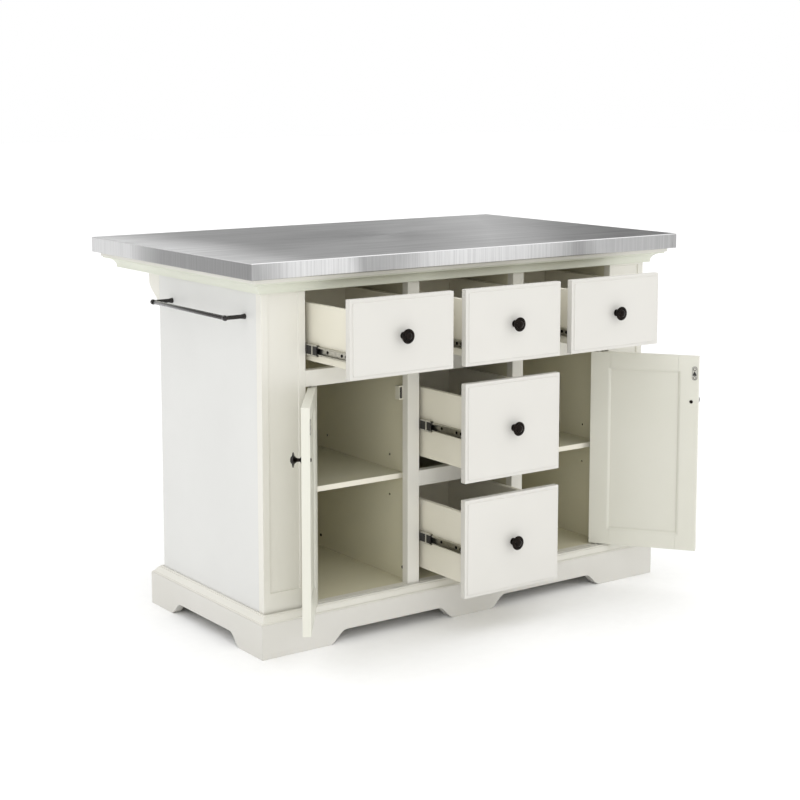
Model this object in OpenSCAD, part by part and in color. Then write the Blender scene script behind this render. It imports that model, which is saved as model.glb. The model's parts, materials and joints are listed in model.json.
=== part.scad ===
// Kitchen island: painted cabinet with two doors and five drawers under a folded
// stainless worktop, with a seating overhang along the rear.
// Millimetres. +Z is up, the doors and drawers open towards -Y, and the floor is z = 0.
// The origin is on the floor under the middle of the front plinth board's centre foot.
// The cabinet is drawn in use: drawers part way out and both doors open.

/* [Worktop] */
// Height of the worktop's upper face above the floor
top_h = 914; // [880:1:960]
// Thickness of the worktop, steel and core together
top_t = 38; // [25:1:60]
// Thickness of the folded steel sheet
skin_t = 1.2; // [0.8:0.1:2]
// Width of the steel return lip under the worktop
skin_lip = 30; // [20:1:50]
// Overhang of the worktop past each end of the body
side_over = 60; // [50:1:90]
// Overhang of the worktop past the body's front
front_over = 63; // [50:1:90]
// Overhang of the worktop past the body's back, for seating
rear_over = 253; // [180:1:350]

/* [Sub-top and crown] */
// Thickness of the board under the worktop
sub_t = 10; // [6:1:18]
// Distance from the worktop's edge to the edge of the board under it
sub_inset = 17; // [8:1:22]
// Height of the cove moulding round the top
crown_h = 28; // [20:1:45]
// Projection of the cove moulding from the body
crown_proj = 39; // [20:1:40]
// Distance from the moulding's outer edge to the sub-top's rear edge
crown_margin = 4; // [2:1:10]
// Width of the moulding's flat lower edge
crown_foot = 13; // [6:1:18]
// Height of the moulding's square upper and lower edges
crown_fillet = 4; // [2:1:8]
// Depth of the corbels behind the body
corbel_d = 54; // [40:1:120]
// Height of the corbels
corbel_h = 84; // [60:1:160]
// Width of the corbels
corbel_w = 44; // [30:1:70]
// Thickness of the boards that frame the overhang
overhang_board_t = 16; // [12:1:20]

/* [Body] */
// Width of the body over its side panels
body_w = 1168; // [1000:1:1400]
// Depth of the body from the front frame to the back panel
body_d = 485; // [460:1:650]
// Width of the corner posts
post_w = 117; // [80:1:150]
// Thickness of the posts, stiles and rails of the front frame
frame_t = 22; // [19:1:28]
// Width of the two stiles between the bays
stile_w = 34; // [30:1:50]
// Height of the rails between the openings
rail_h = 38; // [25:1:60]
// Height of the upper drawer openings
top_open_h = 186; // [150:1:220]
// Thickness of the outer side panels
side_t = 16; // [12:1:20]
// Thickness of the inner side panels
inner_t = 16; // [12:1:20]
// Thickness of the two dividers
divider_t = 18; // [14:1:22]
// Thickness of the cabinet floor
floor_t = 18; // [12:1:22]
// Thickness of the back panel
back_t = 12; // [6:1:16]
// Width of the border round the posts' sunk panels
post_border = 18; // [12:1:25]
// Height of the sunk panels' lower edge above the plinth
post_panel_rise = 45; // [20:1:90]
// Distance from the sunk panels' upper edge to the crown
post_panel_drop = 6; // [4:1:40]
// Depth of the posts' sunk panels
post_panel_d = 3; // [2:0.5:8]

/* [Plinth] */
// Height of the plinth, level with the cabinet floor
plinth_h = 98; // [80:1:120]
// Height of the plinth's moulded top edge
plinth_cap_h = 17; // [10:1:30]
// Thickness of the front and rear plinth boards
plinth_front_t = 28; // [20:1:34]
// Thickness of the side plinth boards
plinth_side_t = 22; // [18:1:34]
// Depth of the plinth's moulded top edge, from its face inwards
plinth_cap_d = 17; // [10:1:17]
// Height of the small step under the moulded edge
plinth_step = 2; // [1:0.5:4]
// Height of the arches between the feet
arch_h = 31; // [15:1:45]
// Height of the body's lower edge above the arches
case_rise = 3; // [0:1:15]
// Width of the curved shoulder at each end of an arch
shoulder_w = 48; // [20:1:60]
// Width of the front and rear boards' end feet
end_foot_w = 183; // [120:1:220]
// Width of the front and rear boards' centre foot
centre_foot_w = 112; // [80:1:160]
// Width of the side boards' feet
side_foot_w = 102; // [80:1:140]

/* [Drawers] */
// Distance that the drawers stand open
pull_out = 183; // [0:1:390]
// Thickness of the drawer fronts
front_t = 19; // [16:1:22]
// Gap at the sides of each drawer front
front_gap = 1; // [0.5:0.1:4]
// Gap under each drawer front
front_rise = 1.5; // [0.5:0.1:4]
// Gap over the upper drawers' fronts
top_front_drop = 5; // [1:0.5:8]
// Gap over the deep drawers' fronts
deep_front_drop = 2; // [1:0.5:8]
// Width of the stepped border on the drawer fronts
front_step = 8; // [4:1:20]
// Depth of the stepped border
front_step_d = 2.5; // [1:0.5:5]
// Thickness of the drawer box boards
box_t = 12; // [9:1:15]
// Thickness of the drawer bottoms
box_base_t = 5; // [3:1:9]
// Height of a drawer bottom above the box's lower edge
box_base_rise = 8; // [4:1:15]
// Space under the upper drawers' boxes
top_box_rise = 22; // [8:1:30]
// Space over the upper drawers' boxes
top_box_drop = 31; // [8:1:40]
// Space under the two deep drawers' boxes
deep_box_rise = 32; // [10:1:40]
// Space over the two deep drawers' boxes
deep_box_drop = 37; // [10:1:50]

/* [Slides] */
// Length of the drawer slides
slide_len = 400; // [350:1:410]
// Thickness of a slide, from the cabinet wall to the drawer box
slide_w = 12.7; // [12:0.1:16]
// Height of the cabinet members
slide_h = 35; // [30:1:46]
// Thickness of the slides' steel
slide_steel = 1.2; // [1:0.1:1.6]
// Depth of each rolled raceway
raceway = 3.2; // [2.5:0.1:4]
// Running clearance between slide members
slide_gap = 0.3; // [0.2:0.05:0.5]
// Distance that the middle members stop short of the slide's front
middle_short = 25; // [10:1:40]
// Height of an upper drawer's slide above the box's lower edge
top_slide_rise = 28; // [20:1:60]
// Height of a deep drawer's slide above the box's lower edge
deep_slide_rise = 82; // [30:1:120]
// Distance from the drawer front's back to the cabinet members
slide_setback = 5; // [4:1:12]
// Side play between slide members
slide_play = 0.8; // [0.4:0.1:1.2]
// Margin of the spacer strips above and below their slides
spacer_margin = 2.5; // [1:0.5:10]

/* [Doors] */
// Opening angle of the left door
left_open = 126; // [0:1:128]
// Opening angle of the right door
right_open = 127; // [0:1:128]
// Thickness of the doors
door_t = 19; // [17:1:22]
// Gap over and under each door
door_gap = 3; // [2.5:0.1:4]
// Gap at each door's free edge
free_gap = 5; // [2.5:0.1:6]
// Width of the door stiles
door_stile_w = 52; // [48:1:70]
// Height of the doors' upper rails
door_top_w = 45; // [40:1:70]
// Height of the doors' lower rails
door_low_w = 45; // [40:1:70]
// Width of the bevel round the doors' sunk panels
door_bevel = 8; // [3:0.5:12]
// Height of the square edge between the bevel and the panel's groove
bevel_land = 1; // [0.5:0.1:1.5]
// Thickness of the door panels
door_panel_t = 6; // [4:1:9]
// Depth of the grooves that hold the door panels
groove_d = 8; // [5:1:12]
// Clearance of a panel in its groove
groove_gap = 0.2; // [0.1:0.05:0.4]
// Width of the joint lines in the door frames
joint_line = 0.15; // [0.1:0.05:0.3]
// Distance from a door's hinge edge to its pivot
pivot_in = 19; // [15:1:22]
// Clearance between a door's turning corner and its post
corner_gap = 2.8; // [0.5:0.1:4]
// Diameter of the pivot pins
pivot_d = 6; // [5:0.5:8]
// Length of the pivot pins inside the door
pivot_len = 16; // [10:1:25]
// Running clearance round the pivot pins
pivot_play = 0.05; // [0.02:0.01:0.08]
// Diameter of the pivot bushes in the doors
bush_d = 10; // [9:0.5:12]
// Thickness of the bush flanges
bush_flange = 1.2; // [0.8:0.1:1.4]
// Diameter of the pivot flanges
flange_d = 15; // [13:0.5:17]
// Length of the pivot pins inside the rails
pivot_root = 8; // [6:1:12]
// Height of the catches below the doors' upper edge
catch_drop = 44; // [30:1:100]
// Height of the catches and their striker plates
catch_h = 34; // [20:1:50]
// Depth of the catches
catch_d = 16; // [12:1:40]
// Width of the catches
catch_w = 12; // [10:1:20]
// Width of the striker plates
striker_w = 12; // [8:1:20]
// Distance from a door's free edge to its striker plate
striker_in = 4; // [3:1:12]
// Thickness of the striker plates
striker_t = 1.5; // [1:0.1:2]
// Gap between a striker plate and its catch, door shut
catch_gap = 0.4; // [0.3:0.1:1]

/* [Knobs] */
// Diameter of the knobs
knob_d = 34; // [25:1:40]
// Projection of the knobs
knob_h = 25.5; // [20:0.5:35]
// Diameter of a knob's foot
knob_foot_d = 17; // [12:1:22]
// Diameter of a knob's neck
knob_neck_d = 8; // [7:0.5:14]
// Diameter of the knob screws
screw_d = 4; // [3:0.5:5]
// Diameter of the knob screws' heads
screw_head_d = 9; // [7:0.5:11]
// Height of the knob screws' heads
screw_head_h = 2.2; // [1.5:0.1:4]
// Clearance round the knob screws
screw_gap = 0.4; // [0.2:0.1:0.8]
// Distance from a door's free edge to its knob
door_knob_in = 17.5; // [16:0.5:40]
// Distance from a door's upper edge to its knob
door_knob_drop = 118; // [80:1:200]

/* [Shelves] */
// Thickness of the shelves
shelf_t = 13; // [10:1:18]
// Distance from the body's front to a shelf's front edge
shelf_front = 40; // [36:1:80]
// Clearance at each end and at the back of a shelf
shelf_gap = 1; // [0.5:0.5:3]
// Diameter of the shelf pins
pin_d = 5; // [4:0.5:7]
// Length of a shelf pin in the wall
pin_in = 8; // [6:1:9]
// Length of a shelf pin under the shelf
pin_out = 9; // [6:1:14]
// Clearance round a shelf pin in its hole
pin_gap = 0.1; // [0.05:0.05:0.3]
// Height of the shelf pins in use
pin_z = 350; // [250:1:450]
// Step between shelf pin holes
pin_step = 50; // [32:1:64]
// Distance from the body's front to the first pin holes
pin_front = 98; // [60:1:120]
// Distance from the first to the second pin holes
pin_pitch = 280; // [200:1:320]

/* [Towel bar] */
// Distance from the crown down to the towel bar
towel_drop = 59; // [40:1:250]
// Distance from the body's front to the first towel bar post
towel_front = 71; // [40:1:120]
// Distance between the towel bar's posts
towel_pitch = 347; // [200:1:380]
// Diameter of the towel bar
towel_d = 10; // [8:0.5:14]
// Distance from the side panel to the bar's centre
towel_proj = 52; // [45:1:80]
// Length of bar past each post
towel_end = 7; // [6:1:30]
// Diameter of the towel bar's posts
towel_post_d = 10; // [6:0.5:12]
// Diameter of the posts' feet
towel_foot_d = 13; // [12:0.5:22]
// Length over which the posts flare into their feet
towel_foot_t = 12; // [2:1:20]
// Wall of the posts' heads round the bar
towel_head_wall = 1.5; // [1.5:0.5:4]

/* [Panel screws] */
// Diameter of the screw heads low on the dividers
panel_screw_d = 8; // [6:0.5:10]
// Height of those screws above the cabinet floor
panel_screw_rise = 30; // [20:1:60]
// Distance from the front frame to the first of them
panel_screw_in = 21; // [10:1:40]
// Distance from the first to the second of them
panel_screw_pitch = 367; // [300:1:380]
// Height of their heads
panel_screw_h = 1.8; // [1:0.1:3]

/* [Hidden] */
$fn = 48;
eps = 0.01;
DRAWER_PARTS = ["front", "box", "runners", "slide_middles", "knob"];
DOOR_PARTS = ["frame", "panel", "fittings", "knob"];
SIDES = [["left", -1, left_open], ["right", 1, right_open]];

// Levels
top_low_z = top_h - top_t;
case_top_z = top_low_z - sub_t;
open_top_z = case_top_z - crown_h;
top_open_z = open_top_z - top_open_h;
upper_rail_z = top_open_z - rail_h;
deep_open_h = (upper_rail_z - plinth_h - rail_h) / 2;
mid_rail_z = plinth_h + deep_open_h;
mid_open_z = mid_rail_z + rail_h;
case_low_z = arch_h + case_rise;

// Widths, measured from the middle
half_w = body_w / 2;
bay_out = half_w - post_w;
bay_w = (2 * bay_out - 2 * stile_w) / 3;
stile_in = bay_w / 2;
stile_out = stile_in + stile_w;
bay_x = stile_out + bay_w / 2;
divider_out = stile_in + divider_t;

// Depths, measured back from the front frame's face
face_y = plinth_front_t / 2;
inside_d = body_d - back_t;
rear_board_y = body_d + rear_over - sub_inset - crown_margin - crown_proj;

// Each drawer: name, middle of its bay, floor of its opening, and whether it is deep
DRAWERS = [
    ["top_left", -bay_x, top_open_z, false],
    ["top_centre", 0, top_open_z, false],
    ["top_right", bay_x, top_open_z, false],
    ["mid_centre", 0, mid_open_z, true],
    ["low_centre", 0, plinth_h, true]
];
function open_h(d) = d[3] ? deep_open_h : top_open_h;
function front_low(d) = d[2] + front_rise;
function front_high(d) = d[2] + open_h(d) - (d[3] ? deep_front_drop : top_front_drop);
function knob_z(d) = (front_low(d) + front_high(d)) / 2;
function box_low(d) = d[2] + (d[3] ? deep_box_rise : top_box_rise);
function box_high(d) = d[2] + open_h(d) - (d[3] ? deep_box_drop : top_box_drop);
function slide_z(d) = box_low(d) + (d[3] ? deep_slide_rise : top_slide_rise);
box_w = bay_w - 2 * slide_w;
box_len = slide_len + slide_setback;

// Doors
hinge_gap = norm([pivot_in, door_t / 2]) - pivot_in + corner_gap;
door_w = bay_w - free_gap - hinge_gap;
door_low_z = plinth_h + door_gap;
door_h = upper_rail_z - plinth_h - 2 * door_gap;
door_top_z = door_low_z + door_h;
pivot_x = bay_out - hinge_gap - pivot_in;
free_edge = door_w - pivot_in;
catch_z = door_top_z - catch_drop;
catch_y = door_t + striker_t + catch_gap;

// Colours
PAINT = [0.87, 0.86, 0.83];
STEEL = [0.66, 0.66, 0.67];
ZINC = [0.55, 0.55, 0.53];
BRONZE = [0.10, 0.09, 0.08];
BOARD = [0.62, 0.50, 0.36];

// ---- helpers ----

// Everything on the cabinet is measured back from the front frame's face.
module at_face() translate([0, face_y, 0]) children();

// A board given by its least and greatest corners.
module board(low, high) translate(low) cube(high - low);

// The same thing at both ends of the cabinet.
module both_ends() for (s = [-1, 1]) flip_x(s) children();
module flip_x(s) mirror([s < 0 ? 1 : 0, 0, 0]) children();

// An S-shaped rise of height h over width w, level at both ends.
function s_curve(w, h, n = 14) = [for (i = [0:n]) [w * i / n, h * (1 - cos(180 * i / n)) / 2]];
function placed(points, at, flip = 1) = [for (p = points) [at[0] + flip * p[0], at[1] + p[1]]];
function backwards(points) = [for (i = [len(points) - 1:-1:0]) points[i]];

// Straight moulding along X: profile [projection, height], face on y = 0, drawn forwards.
module run_x(profile, length)
    rotate([90, 0, 90]) translate([0, 0, -length / 2])
        linear_extrude(length) polygon([for (p = profile) [-p[0], p[1]]]);

// ---- worktop ----

module top_block(shrink, low, high)
    at_face() board([-half_w - side_over + shrink, -front_over + shrink, low],
                    [half_w + side_over - shrink, body_d + rear_over - shrink, high]);

module worktop_skin() color(STEEL) difference() {
    top_block(0, top_low_z, top_h);
    top_block(skin_t, top_low_z + skin_t, top_h - skin_t);
    top_block(skin_lip, top_low_z - eps, top_low_z + skin_t + eps);
}

module worktop_core() color(BOARD) top_block(skin_t, top_low_z + skin_t, top_h - skin_t);

module sub_top() color(PAINT) top_block(sub_inset, case_top_z, top_low_z);

// ---- crown moulding and overhang ----

crown_profile = concat(
    [[0, open_top_z], [crown_foot, open_top_z], [crown_foot, open_top_z + crown_fillet]],
    [for (a = [15:15:90])
        [crown_proj - (crown_proj - crown_foot) * cos(a),
         open_top_z + crown_fillet + (crown_h - 2 * crown_fillet) * sin(a)]],
    [[crown_proj, case_top_z], [0, case_top_z]]
);

// Plan of a mitred moulding of projection d along a wall of half length w.
module mitre_plan(w, d, low, high)
    translate([0, 0, low]) linear_extrude(high - low)
        polygon([[-w, 0], [w, 0], [w + d, -d], [-w - d, -d]]);

module crown_run(half_length) intersection() {
    run_x(crown_profile, 2 * (half_length + crown_proj));
    mitre_plan(half_length, crown_proj, open_top_z, case_top_z);
}

module crown_long() color(PAINT) at_face() {
    crown_run(half_w);
    translate([0, rear_board_y, 0]) mirror([0, 1, 0]) crown_run(half_w);
}

module crown_ends() color(PAINT) at_face() both_ends()
    translate([half_w, rear_board_y / 2, 0]) rotate([0, 0, 90]) crown_run(rear_board_y / 2);

module overhang_frame() color(PAINT) at_face() {
    rear_front = rear_board_y - overhang_board_t;
    both_ends() board([half_w - overhang_board_t, body_d, open_top_z],
                      [half_w, rear_front - joint_line, case_top_z]);
    board([-half_w, rear_front, open_top_z], [half_w, rear_board_y, case_top_z]);
}

// Side outline of a corbel: square nose, then an S down to the body's back.
corbel_nose = corbel_h / 4;
corbel_outline = concat(
    [[0, 0], [corbel_d, 0]],
    [for (p = s_curve(corbel_h - corbel_nose, corbel_d)) [corbel_d - p[1], -corbel_nose - p[0]]]
);

module corbels() color(PAINT) at_face() both_ends()
    translate([half_w - corbel_w, body_d, open_top_z]) rotate([90, 0, 90])
        linear_extrude(corbel_w) polygon(corbel_outline);

// ---- body ----

module corner_posts() color(PAINT) at_face() both_ends() difference() {
    board([bay_out, 0, case_low_z], [half_w, frame_t, case_top_z]);
    board([bay_out + post_border, -eps, plinth_h + post_panel_rise],
          [half_w - post_border, post_panel_d, open_top_z - post_panel_drop]);
}

module frame_stiles() color(PAINT) at_face() both_ends()
    board([stile_in, 0, plinth_h], [stile_out, frame_t, open_top_z]);

module rail_boards() {
    board([-bay_out, 0, open_top_z], [bay_out, frame_t, case_top_z]);
    for (x = [-bay_x, 0, bay_x])
        board([x - bay_w / 2, 0, upper_rail_z], [x + bay_w / 2, frame_t, top_open_z]);
    board([-stile_in, 0, mid_rail_z], [stile_in, frame_t, mid_open_z]);
    board([-bay_out, 0, case_low_z], [bay_out, frame_t, plinth_h]);
}

module frame_rails() color(PAINT) at_face() difference() {
    rail_boards();
    both_ends() for (z = [plinth_h - pivot_root - 1, upper_rail_z - eps])
        translate([pivot_x, door_t / 2, z])
            cylinder(d = pivot_d + 2 * pivot_play, h = pivot_root + 1 + eps);
}

module side_panels() color(PAINT) at_face() both_ends()
    board([half_w - side_t, frame_t, case_low_z], [half_w, body_d, case_top_z]);

// Blind holes for shelf pins, drilled towards +X from x = 0.
module pin_holes() for (y = [pin_front, pin_front + pin_pitch], k = [-1:1])
    translate([-eps, y, pin_z + k * pin_step]) rotate([0, 90, 0])
        cylinder(d = pin_d + 2 * pin_gap, h = pin_in + 1);

module inner_sides() color(PAINT) at_face() both_ends() difference() {
    board([bay_out, frame_t, plinth_h], [bay_out + inner_t, inside_d, case_top_z]);
    translate([bay_out, 0, 0]) pin_holes();
}

module dividers() color(PAINT) at_face() both_ends() difference() {
    board([stile_in, frame_t, plinth_h], [divider_out, inside_d, case_top_z]);
    translate([divider_out, 0, 0]) mirror([1, 0, 0]) pin_holes();
}

module cabinet_floor() color(PAINT) at_face()
    board([side_t - half_w, frame_t, plinth_h - floor_t], [half_w - side_t, inside_d, plinth_h]);

module back_panel() color(PAINT) at_face()
    board([side_t - half_w, inside_d, case_low_z], [half_w - side_t, body_d, case_top_z]);

// ---- shelves ----

shelf_z = pin_z + pin_d / 2;

module shelves() color(PAINT) at_face() both_ends()
    board([divider_out + shelf_gap, shelf_front, shelf_z],
          [bay_out - shelf_gap, inside_d - shelf_gap, shelf_z + shelf_t]);

module shelf_pin() rotate([0, 90, 0]) translate([0, 0, -pin_out])
    cylinder(d = pin_d, h = pin_out + pin_in);

module shelf_pins() color(ZINC) at_face() both_ends()
    for (y = [pin_front, pin_front + pin_pitch]) {
        translate([bay_out, y, pin_z]) shelf_pin();
        translate([divider_out, y, pin_z]) mirror([1, 0, 0]) shelf_pin();
    }

// ---- plinth ----

plinth_plain_h = plinth_h - plinth_cap_h;

// Profile [thickness, height]: plain board with a small step and an ogee above it.
function plinth_profile(t) = concat(
    [[0, 0], [t, 0], [t, plinth_plain_h], [t - plinth_step, plinth_plain_h]],
    [for (p = s_curve(plinth_cap_d - plinth_step, plinth_cap_h - 2 * plinth_step, 8))
        [t - plinth_step - p[0], plinth_plain_h + plinth_step + p[1]]],
    [[t - plinth_cap_d, plinth_h], [0, plinth_h]]
);

// Arch between two feet, from x0 to x1 at the floor, with an S shoulder at each end.
module arch(x0, x1, depth)
    translate([0, eps, 0]) rotate([90, 0, 0]) linear_extrude(depth)
        polygon(concat(
            [[x0, -1]],
            placed(s_curve(shoulder_w, arch_h), [x0, 0]),
            backwards(placed(s_curve(shoulder_w, arch_h), [x1, 0], -1)),
            [[x1, -1]]
        ));

// Plinth board of thickness t along a wall of half length w, mitred at 45 degrees
// from its outer corners, which stand reach past the wall's ends.
module plinth_run(w, t, reach) {
    cut = min(t, reach);
    intersection() {
        run_x(plinth_profile(t), 2 * (w + reach));
        translate([0, 0, -eps]) linear_extrude(plinth_h + 1)
            polygon([[-w, 0], [w, 0], [w + reach - cut, cut - t], [w + reach, -t],
                     [-w - reach, -t], [cut - w - reach, cut - t]]);
    }
}

module plinth_front_board() difference() {
    plinth_run(half_w, plinth_front_t, plinth_side_t);
    both_ends()
        arch(centre_foot_w / 2, half_w + plinth_side_t - end_foot_w, plinth_front_t + 1);
}

module plinth_long() color(PAINT) at_face() {
    plinth_front_board();
    translate([0, body_d, 0]) mirror([0, 1, 0]) plinth_front_board();
}

module plinth_end_board() {
    end = body_d / 2 + plinth_front_t - side_foot_w;
    difference() {
        plinth_run(body_d / 2, plinth_side_t, plinth_front_t);
        arch(-end, end, plinth_side_t + 1);
    }
}

module plinth_ends() color(PAINT) at_face() both_ends()
    translate([half_w, body_d / 2, 0]) rotate([0, 0, 90]) plinth_end_board();

// ---- towel bar on the left end ----

towel_head_d = towel_d + 2 * towel_head_wall;
towel_z = open_top_z - towel_drop;

module towel_bar() color(BRONZE) at_face()
    translate([-half_w - towel_proj, towel_front - towel_end, towel_z]) rotate([-90, 0, 0])
        cylinder(d = towel_d, h = towel_pitch + 2 * towel_end);

module towel_posts() color(BRONZE) at_face()
    for (y = [towel_front, towel_front + towel_pitch])
        translate([-half_w, y, towel_z]) difference() {
            union() {
                rotate([0, -90, 0]) cylinder(d1 = towel_foot_d, d2 = towel_post_d, h = towel_foot_t);
                rotate([0, -90, 0]) cylinder(d = towel_post_d, h = towel_proj - towel_d / 2);
                translate([-towel_proj, -towel_post_d / 2, 0]) rotate([-90, 0, 0])
                    cylinder(d = towel_head_d, h = towel_post_d);
            }
            translate([-towel_proj, -towel_post_d, 0]) rotate([-90, 0, 0])
                cylinder(d = towel_d + 2 * pivot_play, h = 2 * towel_post_d);
        }

// ---- drawer slides ----

middle_h = slide_h - 2 * (raceway + slide_gap);
runner_h = middle_h - 2 * (raceway + slide_gap);
middle_x = slide_steel + slide_play;
middle_tip = slide_w - slide_steel - slide_play;
runner_tip = middle_x + slide_steel + slide_play;
outer_tip = middle_tip - 2 * slide_play;
slide_front = front_t + slide_setback;

// A rolled C section: web on x0, lips towards x1, drawn along Y from the origin.
module channel(x0, x1, height, lip, length) {
    web = x0 < x1 ? slide_steel : -slide_steel;
    translate([0, length, 0]) rotate([90, 0, 0]) linear_extrude(length) polygon([
        [x0, -height / 2], [x1, -height / 2], [x1, lip - height / 2],
        [x0 + web, lip - height / 2], [x0 + web, height / 2 - lip],
        [x1, height / 2 - lip], [x1, height / 2], [x0, height / 2]
    ]);
}

// Both walls of a drawer's bay, with +X pointing from the wall to the drawer box.
module slide_walls(d) for (s = [-1, 1])
    translate([d[1], 0, slide_z(d)]) flip_x(s) translate([-bay_w / 2, 0, 0]) children();

module slide_outers() color(ZINC) at_face() for (d = DRAWERS) slide_walls(d)
    translate([0, slide_front, 0]) channel(0, outer_tip, slide_h, raceway, slide_len);

module slide_middles(d) color(ZINC) at_face() slide_walls(d)
    translate([0, slide_front + middle_short - pull_out / 2, 0])
        channel(middle_x, middle_tip, middle_h, raceway, slide_len - 2 * middle_short);

module runners(d) color(ZINC) at_face() slide_walls(d)
    translate([0, slide_front - pull_out, 0])
        channel(slide_w, runner_tip, runner_h, raceway, slide_len);

// Blocks that bring the dividers' outer faces out to the stiles' edges: a strip behind
// each slide of the outer drawers, and a packer behind each catch.
module spacers() color(PAINT) at_face() both_ends() {
    slide_mid = slide_z(DRAWERS[2]);
    half_h = slide_h / 2 + spacer_margin;
    board([divider_out, frame_t, slide_mid - half_h],
          [stile_out, slide_front + slide_len, slide_mid + half_h]);
    board([divider_out, frame_t, catch_z - catch_h / 2],
          [stile_out, catch_y + catch_d, catch_z + catch_h / 2]);
}

// ---- drawers ----

module drawer_place(d) at_face() translate([d[1], -pull_out, 0]) children();

module screw_hole(depth) rotate([-90, 0, 0]) translate([0, 0, -1])
    cylinder(d = screw_d + 2 * screw_gap, h = depth + 2);

module drawer_front(d) color(PAINT) drawer_place(d) difference() {
    half = bay_w / 2 - front_gap;
    union() {
        board([-half, front_step_d, front_low(d)], [half, front_t, front_high(d)]);
        board([front_step - half, 0, front_low(d) + front_step],
              [half - front_step, front_t, front_high(d) - front_step]);
    }
    translate([0, 0, knob_z(d)]) screw_hole(front_t);
}

// Four boards and a base, each a separate piece.
module drawer_box(d) color(PAINT) drawer_place(d) {
    low = box_low(d);
    high = box_high(d);
    inner = box_w / 2 - box_t;
    end = front_t + box_len;
    for (s = [-1, 1]) flip_x(s)
        board([inner, front_t, low], [box_w / 2, end, high]);
    difference() {
        board([joint_line - inner, front_t, low], [inner - joint_line, front_t + box_t, high]);
        translate([0, 0, knob_z(d)]) screw_hole(front_t + box_t);
    }
    board([joint_line - inner, end - box_t, low], [inner - joint_line, end, high]);
    board([joint_line - inner, front_t + box_t + joint_line, low + box_base_rise],
          [inner - joint_line, end - box_t - joint_line, low + box_base_rise + box_base_t]);
}

// ---- knobs ----

// Turned about Z with its foot on z = 0: foot, neck, thin disc and a small dome on it.
knob_outline = concat(
    [[0, 0], [knob_foot_d / 2, 0], [knob_foot_d / 2, knob_h * 0.06],
     [knob_neck_d / 2, knob_h * 0.18], [knob_neck_d / 2, knob_h * 0.38],
     [knob_d * 0.27, knob_h * 0.62], [knob_d / 2, knob_h * 0.7],
     [knob_d / 2, knob_h * 0.77], [knob_d * 0.27, knob_h * 0.83]],
    [for (a = [0:15:90]) [knob_d * 0.25 * cos(a), knob_h * (0.84 + 0.16 * sin(a))]]
);

// Knob on the face y = 0, with its screw through a thickness of wood behind it.
module knob_and_screw(wood) {
    rotate([90, 0, 0]) rotate_extrude() polygon(knob_outline);
    rotate([-90, 0, 0]) {
        translate([0, 0, -eps]) cylinder(d = screw_d, h = wood + eps);
        translate([0, 0, wood]) cylinder(d1 = screw_head_d, d2 = screw_head_d * 0.7, h = screw_head_h);
    }
}

module drawer_knob(d) color(BRONZE) drawer_place(d)
    translate([0, 0, knob_z(d)]) knob_and_screw(front_t + box_t);

// ---- doors ----

// A door is drawn shut with its pivot on the origin, free edge towards +X and
// outer face towards -Y, then turned open. The right door is the mirror of the left.
module door_place(s) at_face()
    translate([s[1] * pivot_x, door_t / 2, 0]) rotate([0, 0, s[1] * s[2]])
        flip_x(-s[1]) children();

bush_len = pivot_len + 2;
panel_x0 = door_stile_w - pivot_in;
panel_x1 = free_edge - door_stile_w;
panel_z0 = door_low_z + door_low_w;
panel_z1 = door_top_z - door_top_w;

// Bevels the frame round its panel on the outer face, and on the inner face by its mirror.
module bevel_cut() {
    deep = -door_panel_t / 2 - groove_gap - bevel_land;
    face = -door_t / 2;
    out = door_bevel;
    intersection() {
        translate([0, 0, panel_z0 - out - 1]) linear_extrude(panel_z1 - panel_z0 + 2 * out + 2)
            polygon([[panel_x0, deep], [panel_x0 - out, face], [panel_x0 - out, face - 1],
                     [panel_x1 + out, face - 1], [panel_x1 + out, face], [panel_x1, deep]]);
        translate([panel_x0 - out - 1, 0, 0]) rotate([90, 0, 90])
            linear_extrude(panel_x1 - panel_x0 + 2 * out + 2)
                polygon([[deep, panel_z0], [face, panel_z0 - out], [face - 1, panel_z0 - out],
                         [face - 1, panel_z1 + out], [face, panel_z1 + out], [deep, panel_z1]]);
    }
}

module bush_bores() for (z = [door_low_z - eps, door_top_z - bush_len])
    translate([0, 0, z]) cylinder(d = bush_d, h = bush_len + eps);

module door_frame(s) color(PAINT) door_place(s) difference() {
    union() {
        board([-pivot_in, -door_t / 2, door_low_z], [panel_x0, door_t / 2, door_top_z]);
        board([panel_x1, -door_t / 2, door_low_z], [free_edge, door_t / 2, door_top_z]);
        for (z = [[door_low_z, panel_z0], [panel_z1, door_top_z]])
            board([panel_x0 + joint_line, -door_t / 2, z[0]],
                  [panel_x1 - joint_line, door_t / 2, z[1]]);
    }
    board([panel_x0 - groove_d, -door_panel_t / 2 - groove_gap, panel_z0 - groove_d],
          [panel_x1 + groove_d, door_panel_t / 2 + groove_gap, panel_z1 + groove_d]);
    bevel_cut();
    mirror([0, 1, 0]) bevel_cut();
    bush_bores();
    translate([free_edge - door_knob_in, -door_t / 2, door_top_z - door_knob_drop])
        screw_hole(door_t);
}

module door_panel(s) color(PAINT) door_place(s)
    board([panel_x0 - groove_d + groove_gap, -door_panel_t / 2, panel_z0 - groove_d + groove_gap],
          [panel_x1 + groove_d - groove_gap, door_panel_t / 2, panel_z1 + groove_d - groove_gap]);

// Flanged bush, closed at its inner end, with its flange standing up from z = 0.
module bush() difference() {
    union() {
        translate([0, 0, -bush_len]) cylinder(d = bush_d - 2 * pivot_play, h = bush_len);
        cylinder(d = flange_d, h = bush_flange);
    }
    translate([0, 0, 1 - bush_len]) cylinder(d = pivot_d + 2 * pivot_play, h = bush_len + 3);
}

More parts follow.
